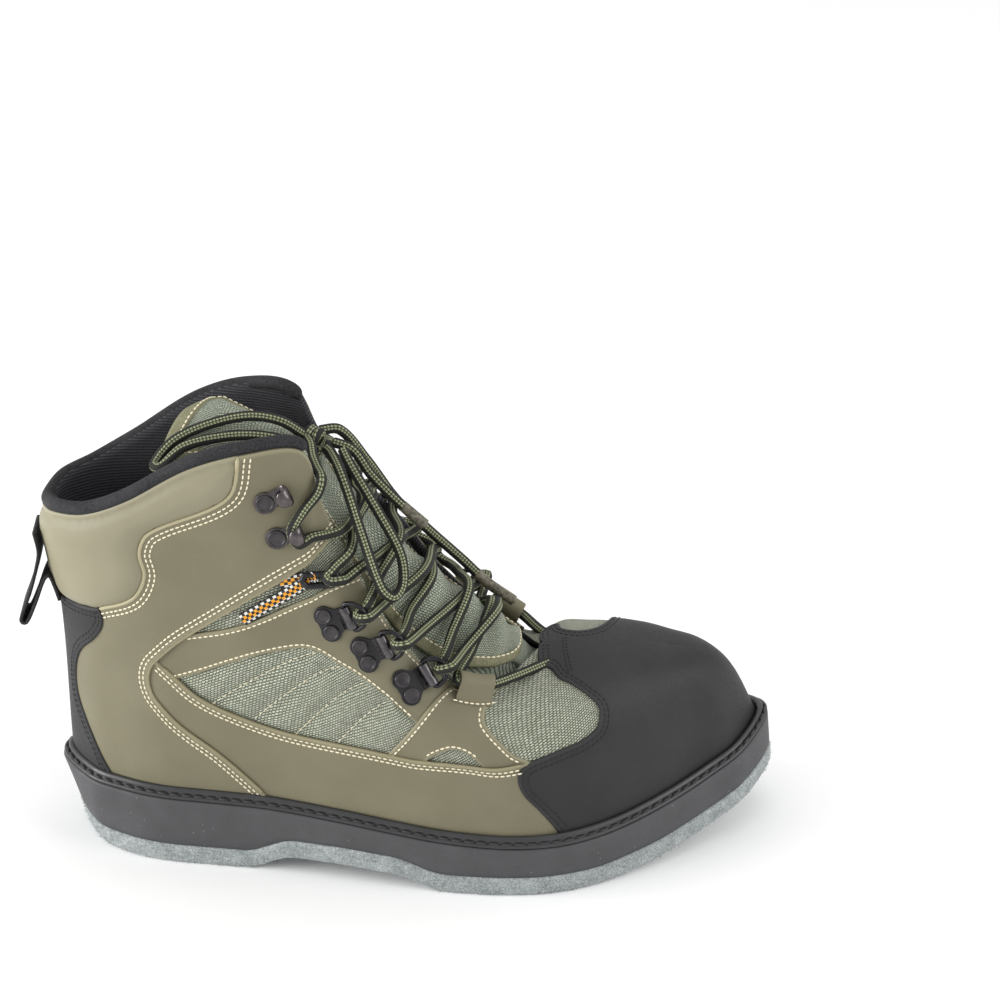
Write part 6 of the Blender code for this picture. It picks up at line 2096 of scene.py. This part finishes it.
@dataclass
class PullLoop(Assembly):
    """Webbing strip down the back of the shaft that stands out in a loop."""

    width: float = 19.0
    thick: float = 1.6
    # Distance behind the skin and height of the strip's middle line
    route: Rows = ((6.6, 152.0), (6.6, 143.0), (8.2, 137.0), (13.0, 124.0), (18.5, 111.0), (19.0, 108.0),
                   (16.8, 107.6), (12.0, 117.0), (6.5, 129.0), (4.0, 131.0), (2.4, 126.0), (1.0, 119.0))
    # Section of the strip: shares of its half width and of its half thickness
    ring: Rows = ((-1.0, 0.0), (-0.985, 0.7), (-0.9, 1.0), (-0.5, 0.92), (0.0, 1.0), (0.5, 0.92), (0.9, 1.0),
                  (0.985, 0.7), (1.0, 0.0), (0.985, -0.7), (0.9, -1.0), (0.0, -1.0), (-0.9, -1.0),
                  (-0.985, -0.7))
    seams: Pair = (147.0, 149.5)

    def build(self) -> None:
        """Build and dress the loop."""
        v = np.linspace(0.0, 1.0, 400)
        back = self.last.skin(np.zeros(400), v)
        rows = np.array([(np.interp(z, back[:, 2], back[:, 0]) - behind, z) for behind, z in self.route])
        middle = float(np.interp(self.route[0][1], back[:, 2], back[:, 1]))
        line = curve_through(rows, 1.0)
        way = unit(np.gradient(line, axis=0))
        half, thin = self.width / 2, self.thick / 2
        none = np.zeros(len(line))
        path = np.column_stack([line[:, 0], none + middle, line[:, 1]])
        out = np.column_stack([-way[:, 1], none, way[:, 0]])
        across = np.tile([0.0, 1.0, 0.0], (len(line), 1))
        shape = sweep(path, across, out, np.array(self.ring) * (half, thin), lengths(line))
        add_piece("pull_loop_tape", shape, self.finishes.tape, ["pull_loop"])
        for z in self.seams:
            y = np.linspace(middle - half + 2.0, middle + half - 2.0, 30)
            x = np.interp(z, back[:, 2], back[:, 0]) - self.route[0][0] - thin - 0.1
            row = np.column_stack([np.full(30, x), y, np.full(30, z)])
            self.sewing.row(row, np.tile([-1.0, 0.0, 0.1], (30, 1)), Thread.WHITE)


@dataclass
class Studio:
    """Camera at the photograph's angle, a plain pale floor and soft light."""

    eye: Point = (44.62, -1367.41, 847.5)
    target: Point = (44.62, -1.31, 167.6)
    lens: float = 126.3
    floor_size: float = 3.2

    def camera(self) -> None:
        """Camera of the photograph."""
        data = bpy.data.cameras.new("camera")
        data.lens = self.lens
        data.sensor_width = 36.0
        camera = show("camera", data)
        eye, target = Vector(self.eye) * MM, Vector(self.target) * MM
        turn = (target - eye).to_track_quat("-Z", "Y").to_matrix().to_4x4()
        camera.matrix_world = Matrix.Translation(eye) @ turn
        bpy.context.scene.camera = camera

    def floor(self) -> None:
        """Plain pale floor."""
        shape = bmesh.new()
        bmesh.ops.create_grid(shape, x_segments=2, y_segments=2, size=self.floor_size)
        data = baked("floor", shape)
        data.materials.append(Paper().make())
        floor = show("floor", data)

    def light(self, name: str, spot: Point, size: float, power: float) -> None:
        """Soft square light that faces the boot."""
        data = bpy.data.lights.new(name, "AREA")
        data.shape = "SQUARE"
        data.size = size
        data.energy = power
        lamp = show(name, data)
        way = Vector((0.0, 0.0, 0.08)) - Vector(spot)
        lamp.matrix_world = Matrix.Translation(spot) @ way.to_track_quat("-Z", "Y").to_matrix().to_4x4()

    def lights(self) -> None:
        """White surroundings, a large key from the left, a fill from the right and a wide top light."""
        world = bpy.data.worlds.new("studio")
        world.use_nodes = True
        shade = world.node_tree.nodes["Background"]
        shade.inputs["Color"].default_value = (1.0, 1.0, 1.0, 1.0)
        shade.inputs["Strength"].default_value = 0.8
        bpy.context.scene.world = world
        self.light("key", (-1.75, -0.4, 0.5), 1.1, 30.0)
        self.light("fill", (1.5, -0.5, 0.8), 1.0, 11.0)
        self.light("top", (0.1, 0.5, 1.9), 1.8, 5.0)
        bpy.context.scene.view_settings.view_transform = "Standard"


def main() -> None:
    """Build the boot's pieces in order, and report each of them."""
    logging.basicConfig(level=logging.INFO, format="%(name)s %(message)s")
    studio = Studio()
    studio.camera()
    last = Last()
    finishes = Finishes()
    sewing = Sewing(last)
    hardware = Hardware(last, finishes, sewing)
    tongue = Tongue(last, finishes, sewing)
    Lacing(last, finishes, hardware, tongue).build()
    tongue.build()
    hardware.build()
    Upper(last, finishes, sewing).build()
    Sole(last, finishes, sewing).build()
    PullLoop(last, finishes, sewing).build()
    sewing.make()
    studio.floor()
    studio.lights()


if __name__ == "__main__":
    main()
